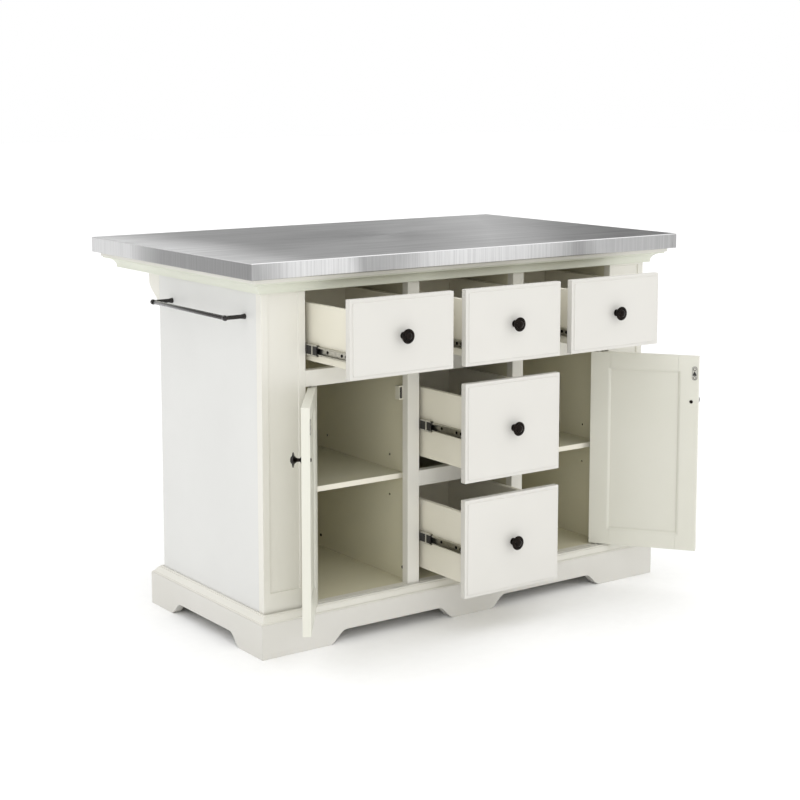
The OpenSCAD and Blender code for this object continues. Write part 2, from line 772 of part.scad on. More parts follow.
module door_fittings(s) color(ZINC) door_place(s) {
    translate([0, 0, door_top_z]) bush();
    translate([0, 0, door_low_z]) mirror([0, 0, 1]) bush();
    board([free_edge - striker_in - striker_w, door_t / 2, catch_z - catch_h / 2],
          [free_edge - striker_in, door_t / 2 + striker_t, catch_z + catch_h / 2]);
}

module door_knob(s) color(BRONZE) door_place(s)
    translate([free_edge - door_knob_in, -door_t / 2, door_top_z - door_knob_drop])
        knob_and_screw(door_t);

// Pin with a flange that stands on the rail, pin upwards from z = 0.
module pivot_pin() {
    translate([0, 0, -pivot_root]) cylinder(d = pivot_d, h = pivot_root + door_gap + pivot_len);
    cylinder(d = flange_d, h = door_gap - bush_flange - slide_gap);
}

module pivot_pins() color(ZINC) at_face() both_ends()
    translate([pivot_x, door_t / 2, 0]) {
        translate([0, 0, plinth_h]) pivot_pin();
        translate([0, 0, upper_rail_z]) mirror([0, 0, 1]) pivot_pin();
    }

module catches() color(PAINT) at_face() both_ends()
    board([stile_out, catch_y, catch_z - catch_h / 2],
          [stile_out + catch_w, catch_y + catch_d, catch_z + catch_h / 2]);

module panel_screws() color(BRONZE) at_face() both_ends()
    for (y = [frame_t + panel_screw_in, frame_t + panel_screw_in + panel_screw_pitch])
        translate([divider_out, y, plinth_h + panel_screw_rise]) rotate([0, 90, 0])
            cylinder(d1 = panel_screw_d, d2 = panel_screw_d * 0.7, h = panel_screw_h);

// ---- what is drawn ----

worktop_skin();
worktop_core();
sub_top();
crown_long();
crown_ends();
overhang_frame();
corbels();
corner_posts();
frame_stiles();
frame_rails();
side_panels();
inner_sides();
dividers();
cabinet_floor();
back_panel();
shelves();
shelf_pins();
plinth_long();
plinth_ends();
towel_bar();
towel_posts();
slide_outers();
spacers();
pivot_pins();
catches();
panel_screws();

for (d = DRAWERS) {
    drawer_front(d);
    drawer_box(d);
    runners(d);
    slide_middles(d);
    drawer_knob(d);
}

for (s = SIDES) {
    door_frame(s);
    door_panel(s);
    door_fittings(s);
    door_knob(s);
}
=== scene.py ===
# %% [markdown]
# # A painted kitchen island with a folded steel worktop
# This file dresses a finished CAD model. The CAD part fixes where every board, joint and
# slide is, and here each piece gets the shape and the finish that the eye expects: paint
# with a soft sheen, brushed steel, dark bronze and zinc-plated slides.
# We load the model first. Everything is in metres, in the CAD part's own frame: +X to the
# right, +Y from the doors to the seating side, +Z up, and the floor is z = 0.

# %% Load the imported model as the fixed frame
import json
from math import cos, pi, radians, sin

import bmesh
import bpy
from mathutils import Matrix, Vector


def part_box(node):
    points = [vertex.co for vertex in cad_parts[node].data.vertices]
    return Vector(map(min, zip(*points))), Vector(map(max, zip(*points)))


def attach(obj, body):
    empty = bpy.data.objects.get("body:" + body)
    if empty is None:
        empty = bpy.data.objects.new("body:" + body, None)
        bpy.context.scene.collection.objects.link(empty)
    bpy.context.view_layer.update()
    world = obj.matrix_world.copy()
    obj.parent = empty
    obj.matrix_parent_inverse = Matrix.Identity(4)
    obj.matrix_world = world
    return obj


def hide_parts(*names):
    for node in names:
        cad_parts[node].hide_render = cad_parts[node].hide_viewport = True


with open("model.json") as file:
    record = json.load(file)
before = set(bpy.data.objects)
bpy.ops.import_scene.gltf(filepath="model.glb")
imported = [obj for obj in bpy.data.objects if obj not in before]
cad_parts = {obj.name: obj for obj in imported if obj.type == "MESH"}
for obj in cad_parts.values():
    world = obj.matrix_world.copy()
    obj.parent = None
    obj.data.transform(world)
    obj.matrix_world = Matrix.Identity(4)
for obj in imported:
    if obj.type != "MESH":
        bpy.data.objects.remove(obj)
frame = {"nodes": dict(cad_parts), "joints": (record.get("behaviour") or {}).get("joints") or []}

bpy.context.view_layer.update()
nodes = frame["nodes"]

# %% [markdown]
# ## Sizes that come from the frame
# A piece that stands for a CAD node has to sit exactly where the node is. We could copy the
# numbers from the CAD source, but asking the frame for each node's box is safer, because a
# later change of size then carries over by itself.

# %% Read the main sizes
MM = 0.001
half_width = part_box("side_panels")[1].x
face_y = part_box("corner_posts")[0].y
skin_low, skin_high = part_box("worktop_skin")
crown_low, crown_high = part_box("crown_long")
plinth_low, plinth_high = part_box("plinth_long")
crown_reach = face_y - crown_low.y
print("body", round(2 * half_width, 4), "wide, front face at y =", round(face_y, 4))

# %% [markdown]
# ## One function for shader nodes
# Shader trees get long, and most lines only add a node, set a few values and link it. One
# small function does all three: settings are the node's own properties, and each entry of
# inputs is a value or another node's output.

# %% Add a shader node, and turn hex colours to linear
def add(tree, kind, inputs=None, **settings):
    made = tree.nodes.new("ShaderNode" + kind)
    for name, value in settings.items():
        setattr(made, name, value)
    for name, value in (inputs or {}).items():
        if isinstance(value, bpy.types.NodeSocket):
            tree.links.new(value, made.inputs[name])
        else:
            made.inputs[name].default_value = value
    return made


def linear(code):
    """An sRGB hex colour, such as E5E2DF, as linear RGBA."""
    parts = [int(code[i:i + 2], 16) / 255 for i in (0, 2, 4)]
    return [c / 12.92 if c < 0.04045 else ((c + 0.055) / 1.055) ** 2.4 for c in parts] + [1.0]


def new_material(name):
    """A material with an empty Principled surface; returns it, its tree and the shader."""
    made = bpy.data.materials.new(name)
    made.use_nodes = True
    return made, made.node_tree, made.node_tree.nodes["Principled BSDF"]


def waves(tree, size_mm, detail=2.0, stretch=(1, 1, 1)):
    """Noise whose features are about size_mm across, longer where stretch is over 1."""
    where = add(tree, "TexCoord").outputs["Object"]
    scale = [1 / (size_mm * MM * s) for s in stretch]
    placed = add(tree, "Mapping", {"Vector": where, "Scale": scale})
    return add(tree, "TexNoise", {"Vector": placed.outputs["Vector"], "Scale": 1.0, "Detail": detail})


def blend_colours(tree, factor, first, second):
    mixed = add(tree, "Mix", data_type="RGBA")
    tree.links.new(factor, mixed.inputs[0])
    mixed.inputs[6].default_value = linear(first)
    mixed.inputs[7].default_value = linear(second)
    return mixed.outputs[2]


def between(tree, value, low, high):
    """Spreads a noise value, which mostly lies from 0.3 to 0.7, over low to high."""
    ranged = add(tree, "MapRange", {"Value": value, "From Min": 0.3, "From Max": 0.7,
                                    "To Min": low, "To Max": high})
    return ranged.outputs["Result"]


def bump(tree, shader, height, depth_mm, strength=1.0):
    made = add(tree, "Bump", {"Height": height, "Distance": depth_mm * MM, "Strength": strength})
    tree.links.new(made.outputs["Normal"], shader.inputs["Normal"])


print("E5E2DF is", [round(c, 3) for c in linear("E5E2DF")[:3]])

# %% [markdown]
# ## Paint: sprayed satin lacquer on MDF
# The doors, drawer fronts, frame, ends, crown and plinth are MDF and solid wood under a
# sprayed satin lacquer. There is no grain. What gives it away as paint is a soft, broad
# gloss, a slight unevenness called orange peel, and a warm white that is never quite even.
# Orange peel is about 1.5 mm across on the real thing. That is under a pixel here, so it is drawn at 5
# mm, and very shallow. All the pieces wear one white, and the six tones of it below are painted light
# and shade, each set to how bright and how warm that piece looks in the light: the fronts and the ends
# are the most neutral, and the frame, the crown, the doors and the plinth are a little yellower.

# %% Sprayed satin lacquer
def lacquer(name, light, deep, roughness):
    made, tree, shader = new_material(name)
    tone = waves(tree, 260, 3)
    colour = blend_colours(tree, between(tree, tone.outputs["Fac"], 0, 1), light, deep)
    tree.links.new(colour, shader.inputs["Base Color"])
    patches = waves(tree, 45, 3)
    tree.links.new(between(tree, patches.outputs["Fac"], roughness - 0.05, roughness + 0.05),
                   shader.inputs["Roughness"])
    peel = waves(tree, 5, 2)
    bump(tree, shader, peel.outputs["Fac"], 0.05, 0.35)
    shader.inputs["IOR"].default_value = 1.49
    return made


# Six tones of one white, each standing in as painted light and shade for the light on its pieces.
fronts_lacquer_painted_light = lacquer("satin lacquer, sprayed", "D6D4CE", "D2D0CA", 0.40)
ends_lacquer_painted_light = lacquer("satin lacquer, sprayed on the ends", "DADAD7", "D6D6D3", 0.40)
frame_lacquer_painted_light = lacquer("satin lacquer, sprayed on the frame", "E2E0D8", "DEDCD3", 0.42)
crown_lacquer_painted_light = lacquer("satin lacquer, sprayed on the crown", "D9DBCE", "D5D7C9", 0.42)
doors_lacquer_painted_light = lacquer("satin lacquer, sprayed on the doors", "DAD9CE", "D6D5C9", 0.40)
plinth_lacquer_painted_light = lacquer("satin lacquer, sprayed on the plinth", "D6D4CE", "D2D0C9", 0.40)
print(fronts_lacquer_painted_light.name, "and five more tones of painted light")

# %% [markdown]
# ## Inner boards: cream lacquer, rolled on
# The boards inside the cabinet are a creamier, flatter coat, and their cream is pushed towards olive as
# painted shade. Light that bounces from board to board picks that cream up each time, which is what
# makes the insides of the bays look olive in the shade. The drawer boxes have a lighter coat. The back
# is a thin panel with the outer white on its rear face and a much darker olive cream inside, which is
# painted shade, and the shelves are a darker cream on top, as painted shade, with a pale band on their
# front edge that is a painted highlight, so the colour of both goes by which way the face looks.

# %% Cream lacquers for the inside
cream_lacquer_with_painted_shade = lacquer("cream lacquer, rolled", "DAD6BE", "D4CFB6", 0.52)
box_lacquer = lacquer("ivory lacquer, rolled", "E4E0D2", "DFDBCB", 0.50)
back_lacquer_painted_shade_inside = lacquer("lacquer, rolled, with painted shade inside", "B9B38E", "B2AC86", 0.55)


def recolour_faces(made, comparison, limit, code):
    """Another colour on the faces whose normal's Y part is past a limit."""
    tree = made.node_tree
    shader = tree.nodes["Principled BSDF"]
    usual = shader.inputs["Base Color"].links[0].from_socket
    normal = add(tree, "TexCoord").outputs["Normal"]
    rearward = add(tree, "SeparateXYZ", {"Vector": normal}).outputs["Y"]
    chosen = add(tree, "Math", {0: rearward, 1: limit}, operation=comparison).outputs["Value"]
    mixed = add(tree, "Mix", {0: chosen, 6: usual, 7: linear(code)}, data_type="RGBA").outputs[2]
    tree.links.new(mixed, shader.inputs["Base Color"])


shelf_lacquer_painted_shade_and_highlight = lacquer("cream lacquer with a banded edge", "D2CFBA", "CCC9B2", 0.52)
# The back's inside keeps its dark painted shade, and its rear face gets the outer white; the shelves'
# front edges get a pale painted highlight.
recolour_faces(back_lacquer_painted_shade_inside, "GREATER_THAN", 0.5, "E1DFDB")
recolour_faces(shelf_lacquer_painted_shade_and_highlight, "LESS_THAN", -0.5, "F0ECDD")
print(cream_lacquer_with_painted_shade.name, "|", box_lacquer.name, "|", back_lacquer_painted_shade_inside.name, "|", shelf_lacquer_painted_shade_and_highlight.name)

# %% [markdown]
# ## Worktop: brushed stainless steel
# Stainless sheet, brushed with an abrasive belt along its length before it was folded. The scratches
# spread every reflection sideways to their run, so the top looks like grey silk rather than like a
# mirror. Real scratches are 0.05 mm wide. They are drawn 4 mm wide and about 160 mm long, which is as
# fine as shows here, with streaks about 26 mm wide where the belt pressed harder. Broad bands of painted
# reflection lie in the colour: grey over most of the top, brighter towards the left end, and bright
# patches with grey ones between them on the skirts, where the lines run down the face. The fold along
# the upper edge carries a bright painted highlight.

# %% Brushed stainless steel
def band_tone(tree, value, low, high, stops):
    """Spreads value from low..high over a colour ramp of (position, hex) stops."""
    ranged = add(tree, "MapRange", {"Value": value, "From Min": low, "From Max": high})
    ramp = add(tree, "ValToRGB", {"Fac": ranged.outputs["Result"]})
    points = ramp.color_ramp.elements
    while len(points) < len(stops):
        points.new(0.5)
    for point, (at, code) in zip(points, stops):
        point.position = (at - low) / (high - low)
        point.color = linear(code)
    return ramp.outputs["Color"]


# Each band of painted reflection is (place in metres, colour): across the slant of the top, along the
# front skirt, and along the end skirts. The wander is how far, in metres, the bands' edges stray.
TOP_PAINTED_REFLECTIONS = [(-1.00, "9C9C9C"), (-0.80, "8A8A8A"), (-0.50, "7C7C7C"), (-0.28, "767676"),
             (-0.12, "808080"), (0.02, "A2A2A2"), (0.12, "B2B2B2"), (0.26, "9C9C9C"),
             (0.38, "707070"), (0.52, "545454")]
FRONT_PAINTED_REFLECTIONS = [(-0.56, "A6A6A6"), (-0.45, "D6D6D6"), (-0.29, "D4D4D4"), (-0.25, "A4A4A4"),
               (-0.17, "AAAAAA"), (-0.07, "CFCFCF"), (0.03, "D6D6D6"), (0.20, "D0D0D0"),
               (0.32, "B6B6B6"), (0.40, "979797"), (0.45, "B2B2B2"), (0.70, "ACACAC")]
END_PAINTED_REFLECTIONS = [(0.01, "8C8C8C"), (0.41, "909090"), (0.51, "ABABAB"), (0.59, "CDCDCD"), (0.79, "CFCFCF")]
REFLECTION_BAND_WANDER = (0.16, 0.10, 0)
REFLECTION_BAND_SLANT = (1, -0.7, 0)
FACES_THAT_WAY = 0.7


def painted_reflection_bands(tree, where, is_top, is_end):
    """The colour of the painted reflection bands at a place on the sheet."""
    wander = waves(tree, 260, 1, (1, 2, 1)).outputs["Fac"]
    strayed = add(tree, "VectorMath", {0: REFLECTION_BAND_WANDER, 1: wander}, operation="MULTIPLY")
    shifted = add(tree, "VectorMath", {0: where, 1: strayed.outputs["Vector"]}, operation="ADD")
    place = add(tree, "SeparateXYZ", {"Vector": shifted.outputs["Vector"]})
    slant = add(tree, "VectorMath", {0: shifted.outputs["Vector"], 1: REFLECTION_BAND_SLANT},
                operation="DOT_PRODUCT").outputs["Value"]
    # Brighter towards the left end of the top: a painted reflection.
    near_left = add(tree, "MapRange", {"Value": place.outputs["X"], "From Min": -0.60,
                                       "From Max": -0.32, "To Min": 1, "To Max": 0},
                    interpolation_type="SMOOTHSTEP").outputs["Result"]
    over_top = band_tone(tree, slant, -1.0, 0.7, TOP_PAINTED_REFLECTIONS)
    top_tone = add(tree, "Mix", {0: near_left, 6: over_top, 7: linear("D6D6D6")}, data_type="RGBA")
    front_tone = band_tone(tree, place.outputs["X"], -0.57, 0.75, FRONT_PAINTED_REFLECTIONS)
    end_tone = band_tone(tree, place.outputs["Y"], 0.0, 0.80, END_PAINTED_REFLECTIONS)
    skirt = add(tree, "Mix", {0: is_end, 6: front_tone, 7: end_tone}, data_type="RGBA").outputs[2]
    sheet = add(tree, "Mix", {0: is_top, 6: skirt, 7: top_tone.outputs[2]}, data_type="RGBA")
    return sheet.outputs[2]


def brushed_steel():
    made, tree, shader = new_material("stainless steel, brushed")
    shader.inputs["Metallic"].default_value = 1.0
    coordinates = add(tree, "TexCoord")
    facing_way = add(tree, "SeparateXYZ", {"Vector": coordinates.outputs["Normal"]})
    upward = facing_way.outputs["Z"]
    endward = add(tree, "Math", {0: facing_way.outputs["X"]}, operation="ABSOLUTE").outputs["Value"]
    is_top, is_end = [add(tree, "Math", {0: way, 1: FACES_THAT_WAY}, operation="GREATER_THAN").outputs[0]
                      for way in (upward, endward)]
    along = waves(tree, 4, 4, (40, 1.6, 1)).outputs["Fac"]
    down = waves(tree, 4, 3, (1, 1, 60)).outputs["Fac"]
    lines = add(tree, "Mix", {0: is_top, 2: down, 3: along}, data_type="FLOAT").outputs[0]
    scratches = between(tree, lines, 0.88, 1.12)
    streaks = between(tree, waves(tree, 26, 3, (20, 1, 1)).outputs["Fac"], 0.86, 1.14)
    belt_wear = add(tree, "Mix", {0: is_top, 2: 1.0, 3: streaks}, data_type="FLOAT").outputs[0]
    fleck = add(tree, "Math", {0: scratches, 1: belt_wear}, operation="MULTIPLY").outputs["Value"]
    sheet = painted_reflection_bands(tree, coordinates.outputs["Object"], is_top, is_end)
    scratched = add(tree, "VectorMath", {0: sheet, 1: fleck}, operation="MULTIPLY")
    # The fold along the upper edge gets a bright painted highlight.
    is_fold = add(tree, "Math", {0: upward, 1: 0.55, 2: 0.42}, operation="COMPARE").outputs["Value"]
    folded = add(tree, "Mix", {0: is_fold, 6: scratched.outputs["Vector"], 7: linear("E6E6E6")},
                 data_type="RGBA").outputs[2]
    tree.links.new(folded, shader.inputs["Base Color"])
    tree.links.new(between(tree, lines, 0.28, 0.42), shader.inputs["Roughness"])
    shader.inputs["Anisotropic"].default_value = 0.5
    bump(tree, shader, lines, 0.03, 0.3)
    return made


stainless = brushed_steel()
print(stainless.name)

# %% [markdown]
# ## Knobs and towel bar: oil-rubbed bronze
# Bronze that was darkened with a chemical bath and then waxed. It is almost black, but its
# gloss is warm, and the high spots have rubbed a little browner. On the knobs the wax has
# worn off; on the towel bar it is a clear coat, and it draws the sharp white line along it.

# %% Oil-rubbed bronze
def oiled_bronze(name, wax):
    made, tree, shader = new_material(name)
    shader.inputs["Metallic"].default_value = 1.0
    cloud = waves(tree, 6, 4).outputs["Fac"]
    tree.links.new(blend_colours(tree, between(tree, cloud, 0, 1), "0C0A08", "221A15"),
                   shader.inputs["Base Color"])
    tree.links.new(between(tree, cloud, 0.26, 0.38), shader.inputs["Roughness"])
    shader.inputs["Coat Weight"].default_value = wax
    shader.inputs["Coat Roughness"].default_value = 0.12
    grain = waves(tree, 1.2, 2).outputs["Fac"]
    bump(tree, shader, grain, 0.02, 0.25)
    return made


bronze = oiled_bronze("bronze, oil-rubbed", 0.15)
waxed_bronze = oiled_bronze("bronze, oil-rubbed and waxed", 1.0)
print(bronze.name, "|", waxed_bronze.name)

# %% [markdown]
# ## Slides: zinc-plated rolled steel
# Steel strip, cold rolled into channels and plated with zinc. Plating is bright but a little
# cloudy, and rolling leaves faint lines along the length.

# %% Zinc-plated steel
def zinc_plated():
    made, tree, shader = new_material("steel, zinc-plated")
    shader.inputs["Metallic"].default_value = 1.0
    cloud = waves(tree, 9, 3).outputs["Fac"]
    tree.links.new(blend_colours(tree, between(tree, cloud, 0, 1), "B4B2AA", "CCCAC2"),
                   shader.inputs["Base Color"])
    rolled = waves(tree, 1.5, 2, (1, 40, 1)).outputs["Fac"]
    tree.links.new(between(tree, rolled, 0.25, 0.4), shader.inputs["Roughness"])
    bump(tree, shader, rolled, 0.02, 0.3)
    return made


zinc = zinc_plated()
print(zinc.name)

# %% [markdown]
# ## Small black parts: moulded acetal
# The slides' end stops and ball cages, and the catches' magnet holders, are injection-moulded
# acetal. It is a dense black with a waxy, low gloss and the fine texture of a spark-eroded
# mould, here 1 mm grit. The catches' cases are the same plastic in white.

# %% Moulded acetal
def moulded_acetal(name, deep, light):
    made, tree, shader = new_material(name)
    grit = waves(tree, 1, 2).outputs["Fac"]
    tree.links.new(blend_colours(tree, between(tree, grit, 0, 1), deep, light),
                   shader.inputs["Base Color"])
    tree.links.new(between(tree, grit, 0.42, 0.55), shader.inputs["Roughness"])
    bump(tree, shader, grit, 0.05, 0.4)
    return made


acetal = moulded_acetal("acetal, moulded black", "0F0E0D", "1B1917")
white_acetal = moulded_acetal("acetal, moulded white", "CCC9B8", "D5D2C2")
print(acetal.name, "|", white_acetal.name)

# %% [markdown]
# ## Worktop core: raw particle board
# The steel sheet is folded over a particle board. Only its chips would show, if the sheet were lifted:
# flakes of 3 mm in two browns, dry and rough. A much darker copy of the same board lines the spare shelf
# pin holes: bare board in the bore, darkened as painted shade.

# %% Raw particle board
def particle_board(name, deep, light):
    made, tree, shader = new_material(name)
    where = add(tree, "TexCoord").outputs["Object"]
    flakes = add(tree, "TexVoronoi", {"Vector": where, "Scale": 1 / (3 * MM)})
    shade = add(tree, "SeparateColor", {"Color": flakes.outputs["Color"]}).outputs["Red"]
    tree.links.new(blend_colours(tree, shade, deep, light), shader.inputs["Base Color"])
    shader.inputs["Roughness"].default_value = 0.85
    bump(tree, shader, shade, 0.2, 0.4)
    return made


chipboard = particle_board("particle board, raw", "9C7B52", "C7A97C")
pin_hole_painted_shade_board = particle_board("particle board, darkened as painted shade", "2A2118", "4A3A28")
print(chipboard.name, "|", pin_hole_painted_shade_board.name)

# %% [markdown]
# ## Boards that keep their CAD shape
# Boards are flat, so the CAD solids are already right. What they lack is the small round on
# every edge, the arris, which sandpaper leaves and which catches the light. The imported
# faces don't share corners and come as thin triangles, so a Weld modifier joins them first, a
# Decimate merges the flat ones into whole faces, a Bevel rounds the edges, and weighted
# normals keep the shading of the large faces flat up to the arris. All four are modifiers, so
# the CAD meshes stay as they are.

# %% Soften and paint the CAD boards
ARRIS_MM = 0.8


def round_arrises(board, width_mm=ARRIS_MM, clamped=True):
    """Rounds every edge where two faces meet at more than 40 degrees."""
    arris = board.modifiers.new("arris", "BEVEL")
    arris.width = width_mm * MM
    arris.segments = 2
    arris.limit_method = "ANGLE"
    arris.angle_limit = radians(40)
    arris.use_clamp_overlap = clamped


def dress(name, material, arris_mm=ARRIS_MM):
    """Gives a CAD board its finish, and rounds its arrises unless arris_mm is 0."""
    board = nodes[name]
    for slot in board.material_slots:
        slot.material = material
    if arris_mm:
        board.modifiers.new("join corners", "WELD").merge_threshold = 0.02 * MM
        whole_faces = board.modifiers.new("whole faces", "DECIMATE")
        whole_faces.decimate_type = "DISSOLVE"
        whole_faces.angle_limit = radians(1)
        round_arrises(board, arris_mm, clamped=False)
        board.modifiers.new("flat faces", "WEIGHTED_NORMAL").weight = 100


frame_boards = ["sub_top", "overhang_frame", "corner_posts", "frame_stiles", "frame_rails"]
inner_boards = ["inner_sides", "dividers", "cabinet_floor", "spacers"]
fronts = sorted(n for n in nodes if n.startswith("drawer_") and n.endswith("_front"))
drawers = [name.removesuffix("_front") for name in fronts]
doors = ["door_left", "door_right"]
for name in fronts:
    dress(name, fronts_lacquer_painted_light)
for name in frame_boards:
    dress(name, frame_lacquer_painted_light)
for name in [d + "_frame" for d in doors]:
    dress(name, doors_lacquer_painted_light, 0.35)  # the step round the panel is only 1 mm high
dress("side_panels", ends_lacquer_painted_light)
for name in inner_boards:
    dress(name, cream_lacquer_with_painted_shade, 0.5)
for name in [d + "_box" for d in drawers]:
    dress(name, box_lacquer, 0.5)
dress("back_panel", back_lacquer_painted_shade_inside)
dress("shelves", shelf_lacquer_painted_shade_and_highlight, 0.5)
for name in [d + "_panel" for d in doors]:
    dress(name, doors_lacquer_painted_light, 0)
dress("worktop_core", chipboard, 0)
print("dressed the boards of", len(drawers), "drawers and", len(doors), "doors")

# %% [markdown]
# ## Turning a bmesh into a piece
# Every new piece ends the same way: its mesh is made, rounded faces are shaded smoothly with sharp edges
# kept where faces meet at more than 35 degrees, it gets its material, it is parented to the body it
# rides on, and the CAD nodes it stands for are hidden.

# %% Finish a piece
def piece(name, bm, material, body, stands_for=()):
    bmesh.ops.recalc_face_normals(bm, faces=bm.faces)
    mesh = bpy.data.meshes.new(name)
    bm.to_mesh(mesh)
    bm.free()
    mesh.shade_smooth()
    mesh.set_sharp_from_angle(angle=radians(35))
    mesh.materials.append(material)
    made = bpy.data.objects.new(name, mesh)
    bpy.context.scene.collection.objects.link(made)
    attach(made, body)
    if stands_for:
        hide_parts(*stands_for)
    return made


# %% [markdown]
# ## Rings, turned shapes and prisms
# Three ways of making a solid cover nearly everything here. Rings that are joined one to the
# next make mouldings and folded sheet. A profile turned round an axis makes knobs and pins.
# A flat outline, with holes in it or not, pushed along a line makes plates and boards.

# %% Join rings, turn a profile, push an outline
def join_rings(bm, rings, closed=False):
    """Skins rings of equally many points. Open ends are capped; closed joins last to first."""
    made = [[bm.verts.new(p) for p in ring] for ring in rings]
    pairs = list(zip(made, made[1:])) + ([(made[-1], made[0])] if closed else [])
    for a, b in pairs:
        for i in range(len(a)):
            j = (i + 1) % len(a)
            bm.faces.new((a[i], a[j], b[j], b[i]))
    if not closed:
        bm.faces.new(made[0])
        bm.faces.new(made[-1])


def turned(bm, profile, place, steps=40):
    """Turns a profile of (radius, height) points round Z, then places it."""
    rings = [[place @ Vector((r * cos(2 * pi * k / steps), r * sin(2 * pi * k / steps), h))
              for k in range(steps)] for r, h in profile]
    join_rings(bm, rings)


def prism(bm, loops, along):
    """Pushes a flat outline along a vector. Loops after the first are holes in it."""
    edges = []
    for loop in loops:
        verts = [bm.verts.new(p) for p in loop]
        edges += [bm.edges.new(pair) for pair in zip(verts, verts[1:] + verts[:1])]
    if len(loops) == 1:
        faces = [bm.faces.new(verts)]
    else:
        filled = bmesh.ops.triangle_fill(bm, use_beauty=True, edges=edges)["geom"]
        faces = [g for g in filled if isinstance(g, bmesh.types.BMFace)]
    grown = bmesh.ops.extrude_face_region(bm, geom=faces)["geom"]
    bmesh.ops.translate(bm, vec=along, verts=[g for g in grown if isinstance(g, bmesh.types.BMVert)])


def arc(radius, start, end, steps=6):
    """Points of an arc about the origin, from start to end in degrees."""
    return [(radius * cos(radians(start + (end - start) * k / steps)),
             radius * sin(radians(start + (end - start) * k / steps))) for k in range(steps + 1)]


print("mesh helpers are ready")

# %% [markdown]
# ## The folded worktop sheet
# One sheet of 1.2 mm steel, folded down all round and then back under the board as a lip. A
# fold can't be sharp: its outside bends round about 2 mm, and that is the thin bright line
# along the top edge. We follow the sheet's section from the top, over the fold, down the
# skirt, round the lower fold and along the lip, and go round the worktop with it. At the right
# front corner the end skirt's tab laps over the front skirt, which is the thin upright line.

# %% Fold the worktop sheet
def sheet_ring(inset, height, corner):
    """The worktop's outline, moved in by inset, with rounded corners."""
    radius = max(corner - inset, 0.1 * MM)
    points = []
    for sx, sy, start in ((1, -1, -90), (1, 1, 0), (-1, 1, 90), (-1, -1, 180)):
        x = (skin_high.x if sx > 0 else skin_low.x) - sx * (inset + radius)
        y = (skin_high.y if sy > 0 else skin_low.y) - sy * (inset + radius)
        points += [(x + u, y + v, height) for u, v in arc(radius, start, start + 90, 5)]
    return points


sheet_t, lip, corner_round = 1.2 * MM, 30 * MM, 3 * MM
fold, low_fold = 2.2 * MM, 1.8 * MM
section = [(2 * fold, skin_high.z)]
section += [(fold - u, skin_high.z - fold + v) for u, v in arc(fold, 90, 0)]
section += [(0, skin_high.z - 2 * fold), (0, skin_low.z + 2 * low_fold)]
section += [(low_fold - u, skin_low.z + low_fold + v) for u, v in arc(low_fold, 0, -90)]
section += [(lip, skin_low.z), (lip, skin_low.z + sheet_t)]
section += [(sheet_t, skin_low.z + sheet_t), (sheet_t, skin_high.z - sheet_t)]
bm = bmesh.new()
join_rings(bm, [sheet_ring(inset, height, corner_round) for inset, height in section])
piece("worktop_sheet", bm, stainless, "cabinet", ["worktop_skin"])

tab_w, tab_proud, tab_sunk, tab_margin = 11 * MM, 0.5 * MM, 0.1 * MM, 3 * MM
tab_right = skin_high.x - corner_round
tab_left = tab_right - tab_w
tab_foot, tab_head = skin_low.z + tab_margin, skin_high.z - tab_margin
tab = [(tab_left, tab_foot), (tab_right, tab_foot), (tab_right, tab_head), (tab_left, tab_head)]
bm = bmesh.new()
prism(bm, [[(x, skin_low.y + tab_sunk, z) for x, z in tab]], Vector((0, -tab_sunk - tab_proud, 0)))
piece("worktop_corner_tab", bm, stainless, "cabinet")
print("worktop sheet of", len(section), "rings, and its corner tab")

# %% [markdown]
# ## The crown moulding
# A cove moulding runs round the body under the top. On the real unit it is a machined strip,
# mitred at the four corners. The section is a small foot, a hollow quarter ellipse and a
# square upper edge, and mitred corners come for free when whole rings are offset outwards.

# %% Run the crown moulding round the body
def body_ring(out, height):
    x, y0, y1 = half_width + out, face_y - out, crown_high.y - crown_reach + out
    return [(-x, y0, height), (x, y0, height), (x, y1, height), (-x, y1, height)]


foot, fillet = 13 * MM, 4 * MM
cove_w, cove_h = crown_reach - foot, crown_high.z - crown_low.z - 2 * fillet
ease = 0.7 * MM
crown_section = [(0, crown_low.z), (foot - ease, crown_low.z), (foot, crown_low.z + ease),
                 (foot, crown_low.z + fillet)]
crown_section += [(crown_reach - cove_w * cos(radians(a)),
                   crown_low.z + fillet + cove_h * sin(radians(a))) for a in range(6, 91, 6)]
crown_section += [(crown_reach, crown_high.z - ease), (crown_reach - ease, crown_high.z)]
crown_section += [(0, crown_high.z)]
bm = bmesh.new()
join_rings(bm, [body_ring(out, height) for out, height in crown_section], closed=True)
piece("crown_moulding", bm, crown_lacquer_painted_light, "cabinet", ["crown_long", "crown_ends"])
print("crown section of", len(crown_section), "points")

# %% [markdown]
# ## The plinth
# Four boards stand round the body's foot. Each is cut away underneath in a flat arch with an
# S-shaped shoulder at each end, so the unit stands on broad feet. A moulded edge, a small
# step with an S above it, runs round on top. The boards are flat outlines pushed through
# their thickness and mitred at the corners, and the moulded edge is made of rings again.

# %% Cut the plinth boards
def s_shoulder(width, height, steps=16):
    """Points of an S-shaped rise from (0, 0) to (width, height), level at both ends."""
    return [(width * k / steps, height * (1 - cos(pi * k / steps)) / 2) for k in range(steps + 1)]


end_low, end_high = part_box("plinth_ends")
arch_h, shoulder = 31 * MM, 48 * MM
cap_h, cap_d, cap_tuck, step = 17 * MM, 17 * MM, 4 * MM, 2 * MM
front_t, end_t = face_y - plinth_low.y, end_high.x - half_width
board_top = plinth_high.z - cap_h


def arch_points(start, end):
    """The underside between two feet, from start to end."""
    rise = s_shoulder(shoulder, arch_h)
    return [(start + u, v) for u, v in rise] + [(end - u, v) for u, v in reversed(rise)]


